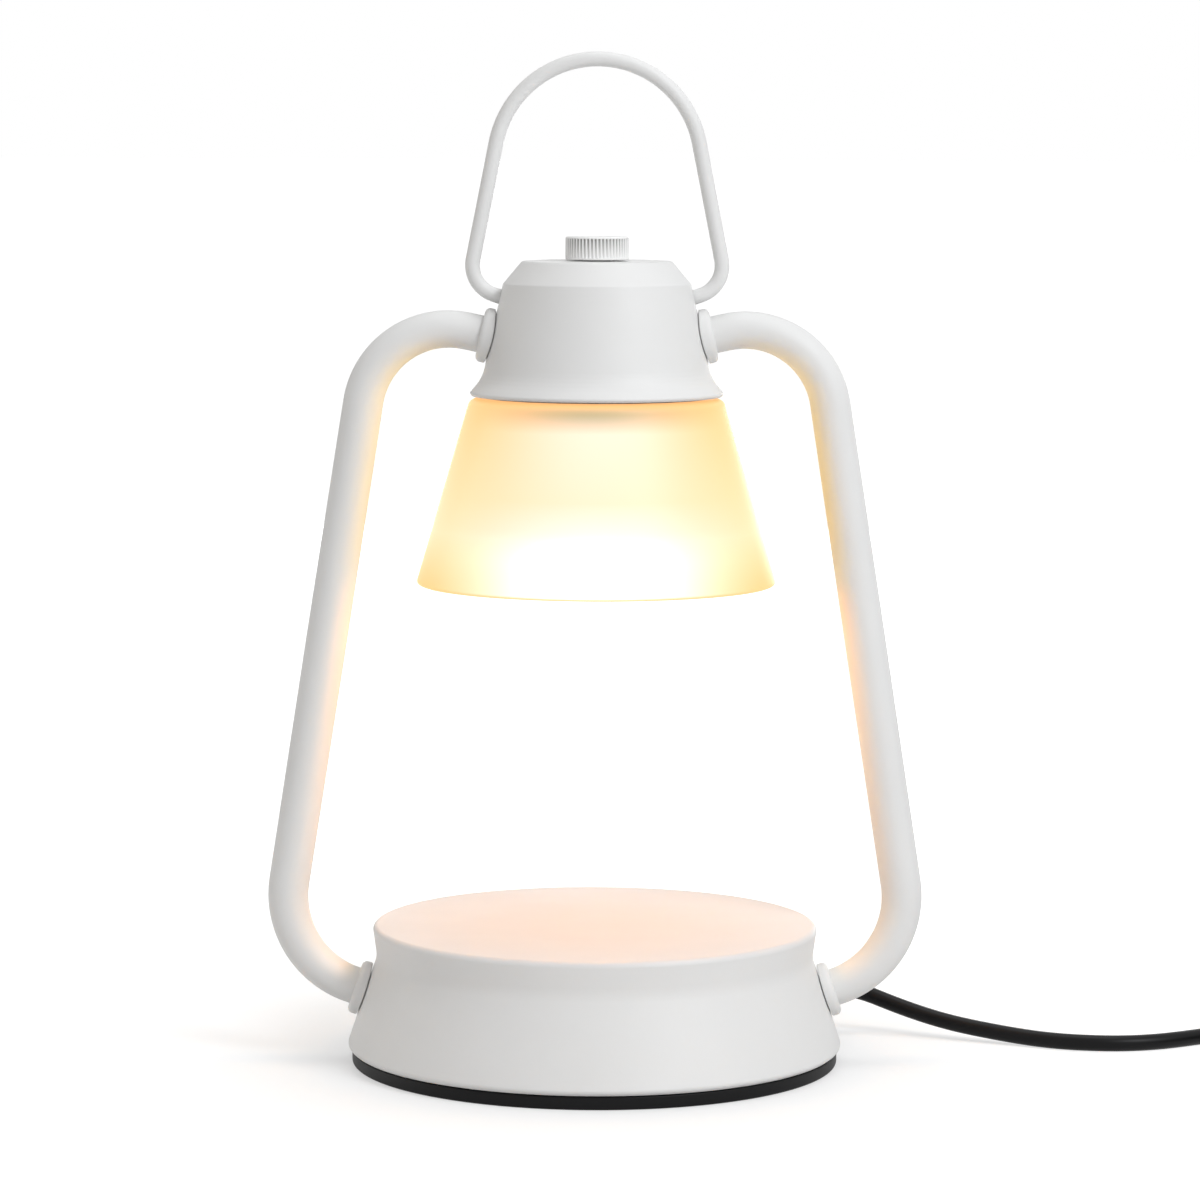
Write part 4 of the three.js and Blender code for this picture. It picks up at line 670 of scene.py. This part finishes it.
# %% Find the line of an arm
HEAD_LOW, HEAD_TOP = 203.3, 243.9
BUSHING_HOLE = 4.3
head_outline = eased([
    (37.75, HEAD_LOW), (38.45, 204.15, 0.8), (34.6, 208.6, 14.0), (28.4, 237.0, 0.9),
    (22.6, HEAD_TOP, 1.2), (BUSHING_HOLE, HEAD_TOP),
])
BASE_TILT = math.atan2(75.4 - 66.45, 32.3 - 5.4)
HEAD_TILT = math.atan2(34.6 - 28.4, 237.0 - 208.6)
SEAT_OFF, TOP_EXTRA, COLLAR_TOP, ROOT = 3.7, 3.7, 3.4, 1.0
BASE_SEAT_Z, HEAD_SEAT_Z = 21.6, HEAD_TOP - 22.8
base_seat = np.array([wall_radius(base_outline, BASE_SEAT_Z), BASE_SEAT_Z])
head_seat = np.array([wall_radius(head_outline, HEAD_SEAT_Z), HEAD_SEAT_Z])
LOW_R, TOP_R = 29.3, 26.1
low_centre = base_seat + heading_of(BASE_TILT) * SEAT_OFF + left_of(BASE_TILT) * LOW_R
top_start_at = head_seat + heading_of(HEAD_TILT) * (SEAT_OFF + TOP_EXTRA)
top_centre = top_start_at - left_of(HEAD_TILT) * TOP_R
lean = touching(low_centre, LOW_R, top_centre, TOP_R)
flat_line = np.vstack([
    base_seat + heading_of(BASE_TILT) * (COLLAR_TOP - ROOT),
    arc(low_centre, LOW_R, BASE_TILT, lean, 60),
    arc(top_centre, TOP_R, lean, math.pi + HEAD_TILT, 60),
    head_seat + heading_of(HEAD_TILT) * (COLLAR_TOP - ROOT),
])
arm_line = np.column_stack([flat_line[:, 0], np.zeros(len(flat_line)), flat_line[:, 1]])
length = along(arm_line)
places = np.linspace(0, length[-1], 190)
arm_path = np.column_stack([np.interp(places, length, arm_line[:, k]) for k in range(3)])
low_end, top_start = length[60], length[61]
thickness = np.interp(
    places,
    [
        0, low_end * 0.5, low_end, (low_end + top_start) / 2, top_start,
        length[-1] * 0.93, length[-1],
    ],
    [5.65, 6.0, 6.17, 6.22, 6.12, 5.72, 5.65],
)
print(f"arm: {length[-1]:.0f} mm of tube, leaning {90 - math.degrees(lean):.1f} degrees")


# %% Make the arms
def mirrored(path):
    return path * np.array([-1, 1, 1])


for side, path in (("right", arm_path), ("left", mirrored(arm_path))):
    arm = swept(f"arm_tube_{side}", path, circle(56), (0, 1, 0), scale=thickness)
    settle(arm, powder_coat, "white_paint", "lamp", f"{side}_arm")

# %% [markdown]
# ## Collars
# A bead ring hides the hole where each tube enters a housing. Its outer edge is half round, and
# its foot follows the curve of the wall, so only a hair-thin dark line shows between them. The
# ring is a section round the tube's axis, and each point of its foot is dropped onto the wall.

# %% Make a collar
BEAD_BORE, BEAD_R = 4.6, 8.3


def collar(name, outline, seat, tilt, side):
    """Section points (radius, share of height) go round the seat's axis. The height runs from
    the wall, found by stepping along the axis until the point's distance from the lamp's axis
    equals the wall's radius there, to the flat top."""
    section = [
        (BEAD_BORE, 0.0), (BEAD_R, 0.0, 0.5), (BEAD_R, COLLAR_TOP, 1.75),
        (BEAD_BORE, COLLAR_TOP, 0.4),
    ]
    section = eased(section, closed=True)
    radius, share = section[:, :1], section[:, 1:] / COLLAR_TOP
    angle = np.arange(120) * 2 * np.pi / 120
    down = np.array([math.sin(tilt), 0, -math.cos(tilt)])
    normal = np.array([math.cos(tilt), 0, math.sin(tilt)])
    flat = (
        np.array([seat[0], 0, seat[1]])
        + (radius * np.cos(angle))[..., None] * down
        + (radius * np.sin(angle))[..., None] * np.array([0, 1.0, 0])
    )
    wall = np.zeros(flat.shape[:2])
    for _ in range(25):
        at = flat + wall[..., None] * normal
        wall -= 0.8 * (np.hypot(at[..., 0], at[..., 1]) - wall_radius(outline, at[..., 2]))
    foot_height = wall + 0.3
    height = foot_height + share * (COLLAR_TOP - foot_height)
    grid = flat + height[..., None] * normal
    if side == "left":
        grid = grid * np.array([-1, 1, 1])
    return piece_from_grid(name, grid, loop=True)


for side in ("right", "left"):
    low_bead = collar(f"bead_base_{side}", base_outline, base_seat, BASE_TILT, side)
    settle(low_bead, powder_coat, "white_paint", "lamp", f"collar_base_{side}")
    top_bead = collar(f"bead_head_{side}", head_outline, head_seat, HEAD_TILT, side)
    settle(top_bead, powder_coat, "white_paint", "lamp", f"collar_head_{side}")

# %% [markdown]
# ## Head
# The head is a second pressing: a flat top, a bevelled shoulder, a straight cone and a small
# bell at the bottom that covers the shoulder of the glass. It is spun as a ring, which leaves a
# hole in the top for the dimmer's bushing. The handle goes through a hole on each side, cut by
# a Boolean modifier with a plain cylinder, because a hole across a cone has no simple formula.

# %% Make the head
head_inside = eased([
    (BUSHING_HOLE, 242.4), (21.9, 242.4, 0.5), (27.0, 236.3, 0.6), (33.1, 208.2, 12.0),
    (36.6, 204.3, 0.4), (36.5, HEAD_LOW),
])
head = spun("head_housing", np.vstack([head_outline, head_inside]), closed=True, sides=224)
PIVOT = HEAD_TOP - 11.05
HANDLE_HOLE_R = 2.85
hole_line = np.column_stack([np.linspace(-45, 45, 2), np.zeros(2), np.full(2, PIVOT)])
hole_cutter = swept("handle_hole_cutter", hole_line, circle(40) * HANDLE_HOLE_R, (0, 1, 0))
drill = head.modifiers.new("handle_holes", "BOOLEAN")
drill.object = hole_cutter
drill.operation = "DIFFERENCE"
drill.solver = "EXACT"
bpy.context.view_layer.update()
drilled = bpy.data.meshes.new_from_object(head.evaluated_get(bpy.context.evaluated_depsgraph_get()))
head.modifiers.clear()
drilled["volume_cm3"] = head.data["volume_cm3"]  # as it was before the holes
head.data = drilled
bpy.data.objects.remove(hole_cutter)
settle(head, powder_coat, "white_paint", "lamp", "head_shell")

# %% [markdown]
# ## Glass shade
# The shade is a blown or pressed cone with a soft shoulder, open below, with a ground rim that
# shows as a thin bright line. Its outline is spun with the full thickness of the glass, so the
# rim catches light as real glass does. The clamp ring and the sleeve inside it are spun too,
# because they show when the lamp is seen from below, and dimly through the glass. The clamp's
# dark band on the glass is mostly a painted shadow in the glass's glow.

# %% Make the shade and its clamp
SHADE_LOW, SHADE_TOP = 146.3, 202.5
shade_outline = eased(
    [
        (51.79, SHADE_LOW, 1.0), (54.6, SHADE_LOW, 1.2), (38.3, SHADE_TOP, 2.8),
        (20.5, SHADE_TOP, 0.6), (20.5, 199.8, 0.6), (36.27, 199.8, 1.6),
    ],
    closed=True,
)
shade = spun("shade_of_etched_glass", shade_outline, closed=True, sides=256)
settle(shade, shade_glass, "frosted_glass", "lamp", "glass_shade")
ring_outline = eased(
    [(15.5, 195.5, 0.4), (26.5, 195.5, 0.8), (26.5, 199.5, 0.4), (15.5, 199.5, 0.3)], closed=True
)
ring = spun("shade_clamp_ring", ring_outline, closed=True, sides=128)
settle(ring, zinc_plate, "zinc_steel", "lamp", "shade_ring")
sleeve_outline = eased(
    [
        (13.8, 193.7, 0.3), (15.2, 193.7, 0.3), (15.2, 205.8), (19, 205.8), (19, 207.0, 0.3),
        (15.2, 207.0), (15.2, 225.1, 0.8), (5, 225.1), (5, 223.9), (13.8, 223.9),
    ],
    closed=True,
)
sleeve = spun("bulb_sleeve", sleeve_outline, closed=True, sides=96)
settle(sleeve, zinc_plate, "zinc_steel", "lamp", "holder_sleeve")

# %% [markdown]
# ## Bulb
# The bulb is the common 50 mm reflector lamp. Its glass cup is coated like a mirror, a quartz
# capsule glows at its focus and a cover glass closes the mouth. The cup is a paraboloid of
# revolution, worked out from its depth and its two radii.

# %% Make the bulb
CUP_Z, CUP_H, CUP_R, NECK_R = 165.3, 27.0, 25.0, 12.6
MOUTH_R, MOUTH_IN_R, NECK_IN_R = 24.2, 22.9, 4.9
rise = np.linspace(0, 1, 24)
cup_out = np.column_stack([
    np.sqrt(NECK_R**2 + (MOUTH_R**2 - NECK_R**2) * rise), CUP_Z + CUP_H - (CUP_H - 3.5) * rise
])[::-1]
cup_in = np.column_stack([
    np.sqrt(NECK_IN_R**2 + (MOUTH_IN_R**2 - NECK_IN_R**2) * rise),
    CUP_Z + CUP_H - 1.2 - (CUP_H - 4.7) * rise,
])
cup_outline = np.vstack([
    [(24.6, CUP_Z), (CUP_R, CUP_Z + 0.6), (CUP_R, CUP_Z + 2.8)], cup_out,
    [(NECK_IN_R, CUP_Z + CUP_H)],
    cup_in, [(23.6, CUP_Z + 2.8), (23.6, CUP_Z)],
])
cup = spun("bulb_cup", cup_outline, closed=True, sides=128)
settle(cup, mirror_film, "mirror_coat", "lamp", "bulb_reflector")
lens_outline = eased([
    (0, CUP_Z + 0.3), (19, CUP_Z + 0.35), (22.9, CUP_Z + 0.9, 0.5), (22.9, CUP_Z + 2.3, 0.3),
    (0, CUP_Z + 2.3),
])
lens = spun("bulb_cover_glass", lens_outline, sides=128)
settle(lens, lens_glass, "clear_glass", "lamp", "bulb_lens")
capsule_outline = eased([(0, 175.3), (4.5, 175.3, 3.8), (4.5, 192.2), (0, 192.2)])
capsule = spun("bulb_quartz_capsule", capsule_outline, sides=64)
settle(capsule, capsule_glass, "clear_glass", "lamp", "bulb_capsule")

# %% [markdown]
# ## Knob
# The knob on top turns the dimmer. It is turned from solid and has straight ridges for grip,
# which stop short of both ends. The ridges are part of the formula of the surface: the radius
# goes in by a groove's depth wherever the angle falls between two ridges. A bump map would look
# the same from the front, but not at the outline.

# %% Make the knob
KNOB_Z, KNOB_TOP, KNOB_R, RIDGES, GROOVE = 244.3, 251.3, 9.63, 52, 0.6


def knob_grid():
    """The outline is spun, and its radius is reduced by groove * g(angle) * m(height). g is a
    cosine wave with 52 crests to the power 0.8, so grooves are a little wider than ridges, and
    m is 0 on the rounded top and on the plain band at the bottom, and fades in between them."""
    outline = eased([
        (0, 250.3), (2.9, 250.3), (2.9, 248.1), (7.4, 248.1), (7.4, KNOB_Z), (9.45, KNOB_Z, 0.15),
        (KNOB_R, KNOB_Z + 0.5, 0.2), (KNOB_R, KNOB_TOP, 0.7), (0, KNOB_TOP),
    ])
    outline = supported(outline, margin=0.12)
    outline = outline[outline[:, 0] > 1e-6]
    angle = np.arange(RIDGES * 12) * 2 * np.pi / (RIDGES * 12)
    wave = (0.5 - 0.5 * np.cos(RIDGES * angle)) ** 0.8
    low = np.clip((outline[:, 1] - KNOB_Z - 0.62) / 0.15, 0, 1)
    high = np.clip((KNOB_TOP - 0.5 - outline[:, 1]) / 0.35, 0, 1)
    mask = low * high * (outline[:, 0] > 9.3)
    radius = outline[:, :1] - GROOVE * mask[:, None] * wave
    around = [radius * np.cos(angle), radius * np.sin(angle), outline[:, 1:] + 0 * angle]
    return np.stack(around, axis=-1)


def painted_groove_shade(paint):
    """White at the crests, and grey as the distance from the axis falls by the depth of a
    groove, below the rounded top only. The grey is painted shade at the bottom of the grooves."""
    material = paint.copy()
    material.name = "powder_coat_with_painted_groove_shade"
    tree = material.node_tree
    place = node(tree, "TexCoord").outputs["Object"]
    flat = node(tree, "VectorMath", {0: place, 1: (1, 1, 0)}, operation="MULTIPLY").outputs[0]
    far = node(tree, "VectorMath", {0: flat}, operation="LENGTH").outputs["Value"]
    depth = {0: far, 1: (KNOB_R - GROOVE) * MM, 2: (KNOB_R - 0.1) * MM, 3: 1, 4: 0}
    sunk = node(tree, "MapRange", depth)
    height = node(tree, "SeparateXYZ", {0: place}).outputs["Z"]
    below = node(tree, "Math", {0: height, 1: (KNOB_TOP - 0.4) * MM}, operation="LESS_THAN")
    both = {0: sunk.outputs[0], 1: below.outputs[0]}
    share = node(tree, "Math", both, operation="MULTIPLY").outputs[0]
    skin = next(part for part in tree.nodes if part.type == "BSDF_PRINCIPLED").inputs["Base Color"]
    # Painted shade: the grooves go grey and the crests stay white.
    crest_and_shade_colours = {0: share, 6: linear("#F3F3F2"), 7: linear("#6B6966")}
    groove_shade = node(tree, "Mix", crest_and_shade_colours, data_type="RGBA")
    tree.links.new(groove_shade.outputs[2], skin)
    return material


knob = piece_from_grid("knurled_knob", knob_grid())
settle(knob, painted_groove_shade(powder_coat), "white_paint", "knob", "dimmer_knob")

# %% [markdown]
# ## Handle
# A bent wire lifts the lamp. Its ends go through the head and turn level inside, where push-on
# washers hold them, so it can fall to either side. Its middle line is found like that of the
# arms: two small bends, two straights and one large bend over the top.

# %% Make the handle
ROD = 2.25
ENTRY = math.radians(18)
HOOK_R, SMALL_R, LARGE_R, RISE = 6.0, 9.3, 31.1, 71.4
SUNK, STUB_OUT, STUB_IN, HOOK_END = 0.75, 2.7, 1.0, 3.4
pivot_x = wall_radius(head_outline, PIVOT) - SUNK
entry = np.array([pivot_x, PIVOT])
outside = entry + heading_of(ENTRY) * STUB_OUT
inside = entry - heading_of(ENTRY) * STUB_IN
small_centre = outside + left_of(ENTRY) * SMALL_R
large_centre = np.array([0, PIVOT + RISE - LARGE_R])
hook_centre = inside + left_of(ENTRY) * HOOK_R
rise_heading = touching(small_centre, SMALL_R, large_centre, LARGE_R)
half = np.vstack([
    hook_centre + np.array([-HOOK_END, -HOOK_R]),
    arc(hook_centre, HOOK_R, 0, ENTRY, 6),
    arc(small_centre, SMALL_R, ENTRY, rise_heading, 30),
    arc(large_centre, LARGE_R, rise_heading, math.pi, 50),
])
whole = np.vstack([half, half[-2::-1] * np.array([-1, 1])])
wire_line = np.column_stack([whole[:, 0], np.zeros(len(whole)), whole[:, 1]])
length = along(wire_line)
places = np.linspace(0, length[-1], 260)
wire_path = np.column_stack([np.interp(places, length, wire_line[:, k]) for k in range(3)])
handle = swept("wire_handle", wire_path, circle(36) * ROD, (0, 1, 0))
settle(handle, powder_coat, "white_paint", "handle", "bail_handle")

# %% [markdown]
# ## Parts that stay solid
# Screws, nuts, leads and the dimmer are hidden in the housings, or show only from below. Their
# solid shapes are right as they are, so they only get their finishes. A flat cover and small
# screws look the same with a finer mesh.

# %% Finish the inner parts
inner_finishes = {
    zinc_plate: [
        "base_plate", "weight_bolt", "holder_plate", "dimmer_washer", "clamp_screw_1",
        "clamp_screw_2", "plate_screw_1", "plate_screw_2", "holder_screw_1", "holder_screw_2",
        "bail_washer_left", "bail_washer_right", "arm_nut_base_left", "arm_nut_base_right",
        "arm_nut_head_left", "arm_nut_head_right", "base_screw_1", "base_screw_2",
        "base_screw_3", "base_screw_4",
    ],
    sand_iron: ["base_weight"],
    brass_turned: ["terminal_screw_1", "terminal_screw_2", "dimmer_nut", "dimmer_shaft"],
    terminal_nylon: ["terminal_block", "cord_clamp"],
    steatite: ["lamp_holder", "bulb_base"],
    silicone: ["shade_gasket"],
    dimmer_plastic: ["dimmer_module"],
    cord_pvc: ["inner_cord", "lamp_lead", "switched_lead"],
}
for material, names in inner_finishes.items():
    for name in names:
        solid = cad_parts[name]
        solid.data.materials.clear()
        solid.data.materials.append(material)
print("inner parts:", sum(len(names) for names in inner_finishes.values()))

# %% [markdown]
# ## Floor
# The lamp stands on white paper that runs out of sight. A photographer lights the paper so that
# it goes fully white, and only a soft shadow shows where the lamp stands. Light on the lamp
# isn't raised for that. The paper shows the camera the sum of its own white and of the light
# that it really receives, which keeps the shadow. Its own white is grey close to the lamp and
# white further out, a painted shadow round the lamp's foot.

# %% Lay the floor
def seen_by_eye(tree):
    """1 for a ray from the camera, from a glossy reflection or through glass, otherwise 0."""
    path = node(tree, "LightPath").outputs
    seen = {0: path["Is Camera Ray"], 1: path["Is Glossy Ray"]}
    seen = node(tree, "Math", seen, operation="MAXIMUM").outputs[0]
    seen = {0: seen, 1: path["Is Transmission Ray"]}
    return node(tree, "Math", seen, operation="MAXIMUM").outputs[0]


def paper_white():
    material = bpy.data.materials.new("white_paper")
    material.use_nodes = True
    tree = material.node_tree
    tree.nodes.clear()
    lit = node(tree, "BsdfDiffuse", {"Color": (0.5, 0.5, 0.5, 1)})
    place = node(tree, "TexCoord").outputs["Object"]
    away = node(tree, "VectorMath", {0: place}, operation="LENGTH").outputs["Value"]
    # Painted shadow: the paper's own white is grey near the lamp and whitens with distance.
    own_white_with_painted_shadow = [(0.08, "#B8B8B8"), (0.2, "#E8E8E8"), (0.5, "#F6F6F6")]
    own_white_with_painted_shadow = node(tree, "ValToRGB", {0: away}, stops=own_white_with_painted_shadow).outputs[0]
    own = node(tree, "Emission", {"Color": own_white_with_painted_shadow, "Strength": 1.0})
    both = node(tree, "AddShader", {0: lit.outputs[0], 1: own.outputs[0]})
    plain = node(tree, "BsdfDiffuse", {"Color": (0.8, 0.8, 0.8, 1)})
    ways = {0: seen_by_eye(tree), 1: plain.outputs[0], 2: both.outputs[0]}
    mixed = node(tree, "MixShader", ways)
    node(tree, "OutputMaterial", {"Surface": mixed.outputs[0]})
    return material


floor_mesh = bpy.data.meshes.new("paper_floor")
reach = 60.0
corners = [(-reach, -reach, 0), (reach, -reach, 0), (reach, reach, 0), (-reach, reach, 0)]
floor_mesh.from_pydata(corners, [], [(0, 1, 2, 3)])
floor = bpy.data.objects.new("paper_floor", floor_mesh)
bpy.context.scene.collection.objects.link(floor)
floor.data.materials.append(paper_white())

# %% [markdown]
# ## Light
# A white room, brighter in front, gives most of the light, so no side is black. The key softbox
# in front on the right turns the round forms. Weaker panels light from above and from the left,
# and a low strip behind lifts the edges. The warm light has two lamps on the axis: the spill in
# the mouth of the shade, and the glow inside it, which stands for the lit glass and reaches the
# tubes and their beads alone. The shade, its clamp and the bulb don't block that lamp. It needs
# multiple importance sampling off, or its light is lost behind what doesn't block it. The glow
# in the shade's own material lights the shade alone, so that nothing is lit by both.

# %% Set the room
world = bpy.data.worlds.new("white_room")
bpy.context.scene.world = world
world.use_nodes = True
tree = world.node_tree
tree.nodes.clear()
where = node(tree, "SeparateXYZ", {0: node(tree, "TexCoord").outputs["Generated"]}).outputs
level = node(tree, "MapRange", {0: where["Y"], 1: -1.0, 2: 0.0, 3: 0.70, 4: 0.27}).outputs[0]
room = node(tree, "Background", {"Color": (1, 0.98, 0.97, 1), "Strength": level})
paper = node(tree, "Background", {"Color": (1, 1, 1, 1), "Strength": 1.0})
ways = {0: seen_by_eye(tree), 1: room.outputs[0], 2: paper.outputs[0]}
mixed = node(tree, "MixShader", ways)
node(tree, "OutputWorld", {"Surface": mixed.outputs[0]})


# %% Hang the lamps
AIM = Vector((0, 0, 0.15))


def softbox(name, place, size, power, colour=(1, 1, 1)):
    """A panel of light, size wide and high in metres, that looks from its place to the lamp."""
    data = bpy.data.lights.new(name, "AREA")
    data.energy = power
    data.shape = "RECTANGLE"
    data.size, data.size_y = size
    data.color = colour
    lamp = bpy.data.objects.new(name, data)
    bpy.context.scene.collection.objects.link(lamp)
    lamp.location = place
    lamp.rotation_euler = (AIM - Vector(place)).to_track_quat("-Z", "Y").to_euler()
    lamp.visible_camera = False


softbox("key_softbox", (1.15, -1.25, 1.4), (0.8, 0.8), 21.6, (0.95, 0.975, 1))
softbox("top_softbox", (0.1, 0.2, 1.6), (0.8, 0.8), 6.2, (0.97, 0.985, 1))
softbox("left_softbox", (-1.9, 0.5, 0.4), (0.8, 0.8), 3.4, (1, 0.95, 0.85))
softbox("back_strip", (0.2, 1.9, 0.15), (1.4, 0.28), 6.0)


def bulb_light(name, height, power, size, colour):
    """A point of warm light on the lamp's axis."""
    data = bpy.data.lights.new(name, "POINT")
    data.energy = power
    data.color = colour
    data.shadow_soft_size = size
    lamp = bpy.data.objects.new(name, data)
    lamp.location = (0, 0, height)
    lamp.visible_camera = False
    bpy.context.scene.collection.objects.link(lamp)
    return lamp


spill = bulb_light("halogen_spill", 0.150, 0.11, 0.012, (1.0, 0.24, 0.01))
glow = bulb_light("glass_glow", 0.172, 0.180, 0.045, (1.0, 0.63, 0.074))
glow.data.cycles.use_multiple_importance_sampling = False

meshes = [piece for piece in bpy.context.scene.objects if piece.type == "MESH"]


def collect(name, pieces):
    """A collection of pieces that a lamp's light is linked to."""
    group = bpy.data.collections.new(name)
    for piece in pieces:
        group.objects.link(piece)
    return group


warmed = [piece for piece in meshes if piece not in (floor, shade)]
spill.light_linking.receiver_collection = collect("warmed_by_bulb", warmed)
tubes_and_beads = [piece for piece in warmed if piece.name.startswith(("arm_tube", "bead_"))]
glow.light_linking.receiver_collection = collect("warmed_by_glow", tubes_and_beads)
dark_for_glow = collect(
    "shades_the_glow",
    [piece for piece in warmed if piece not in (ring, sleeve, cup, lens, capsule)],
)
glow.light_linking.blocker_collection = dark_for_glow
shade.light_linking.receiver_collection = collect("glows_on_itself", [shade])

# %% [markdown]
# ## Finish
# The standard view transform shows a colour as it is written, which suits a product on white.
# The last lines set it and hand the lamp over.

# %% Hand over
bpy.context.scene.view_settings.view_transform = "Standard"
bpy.context.view_layer.update()
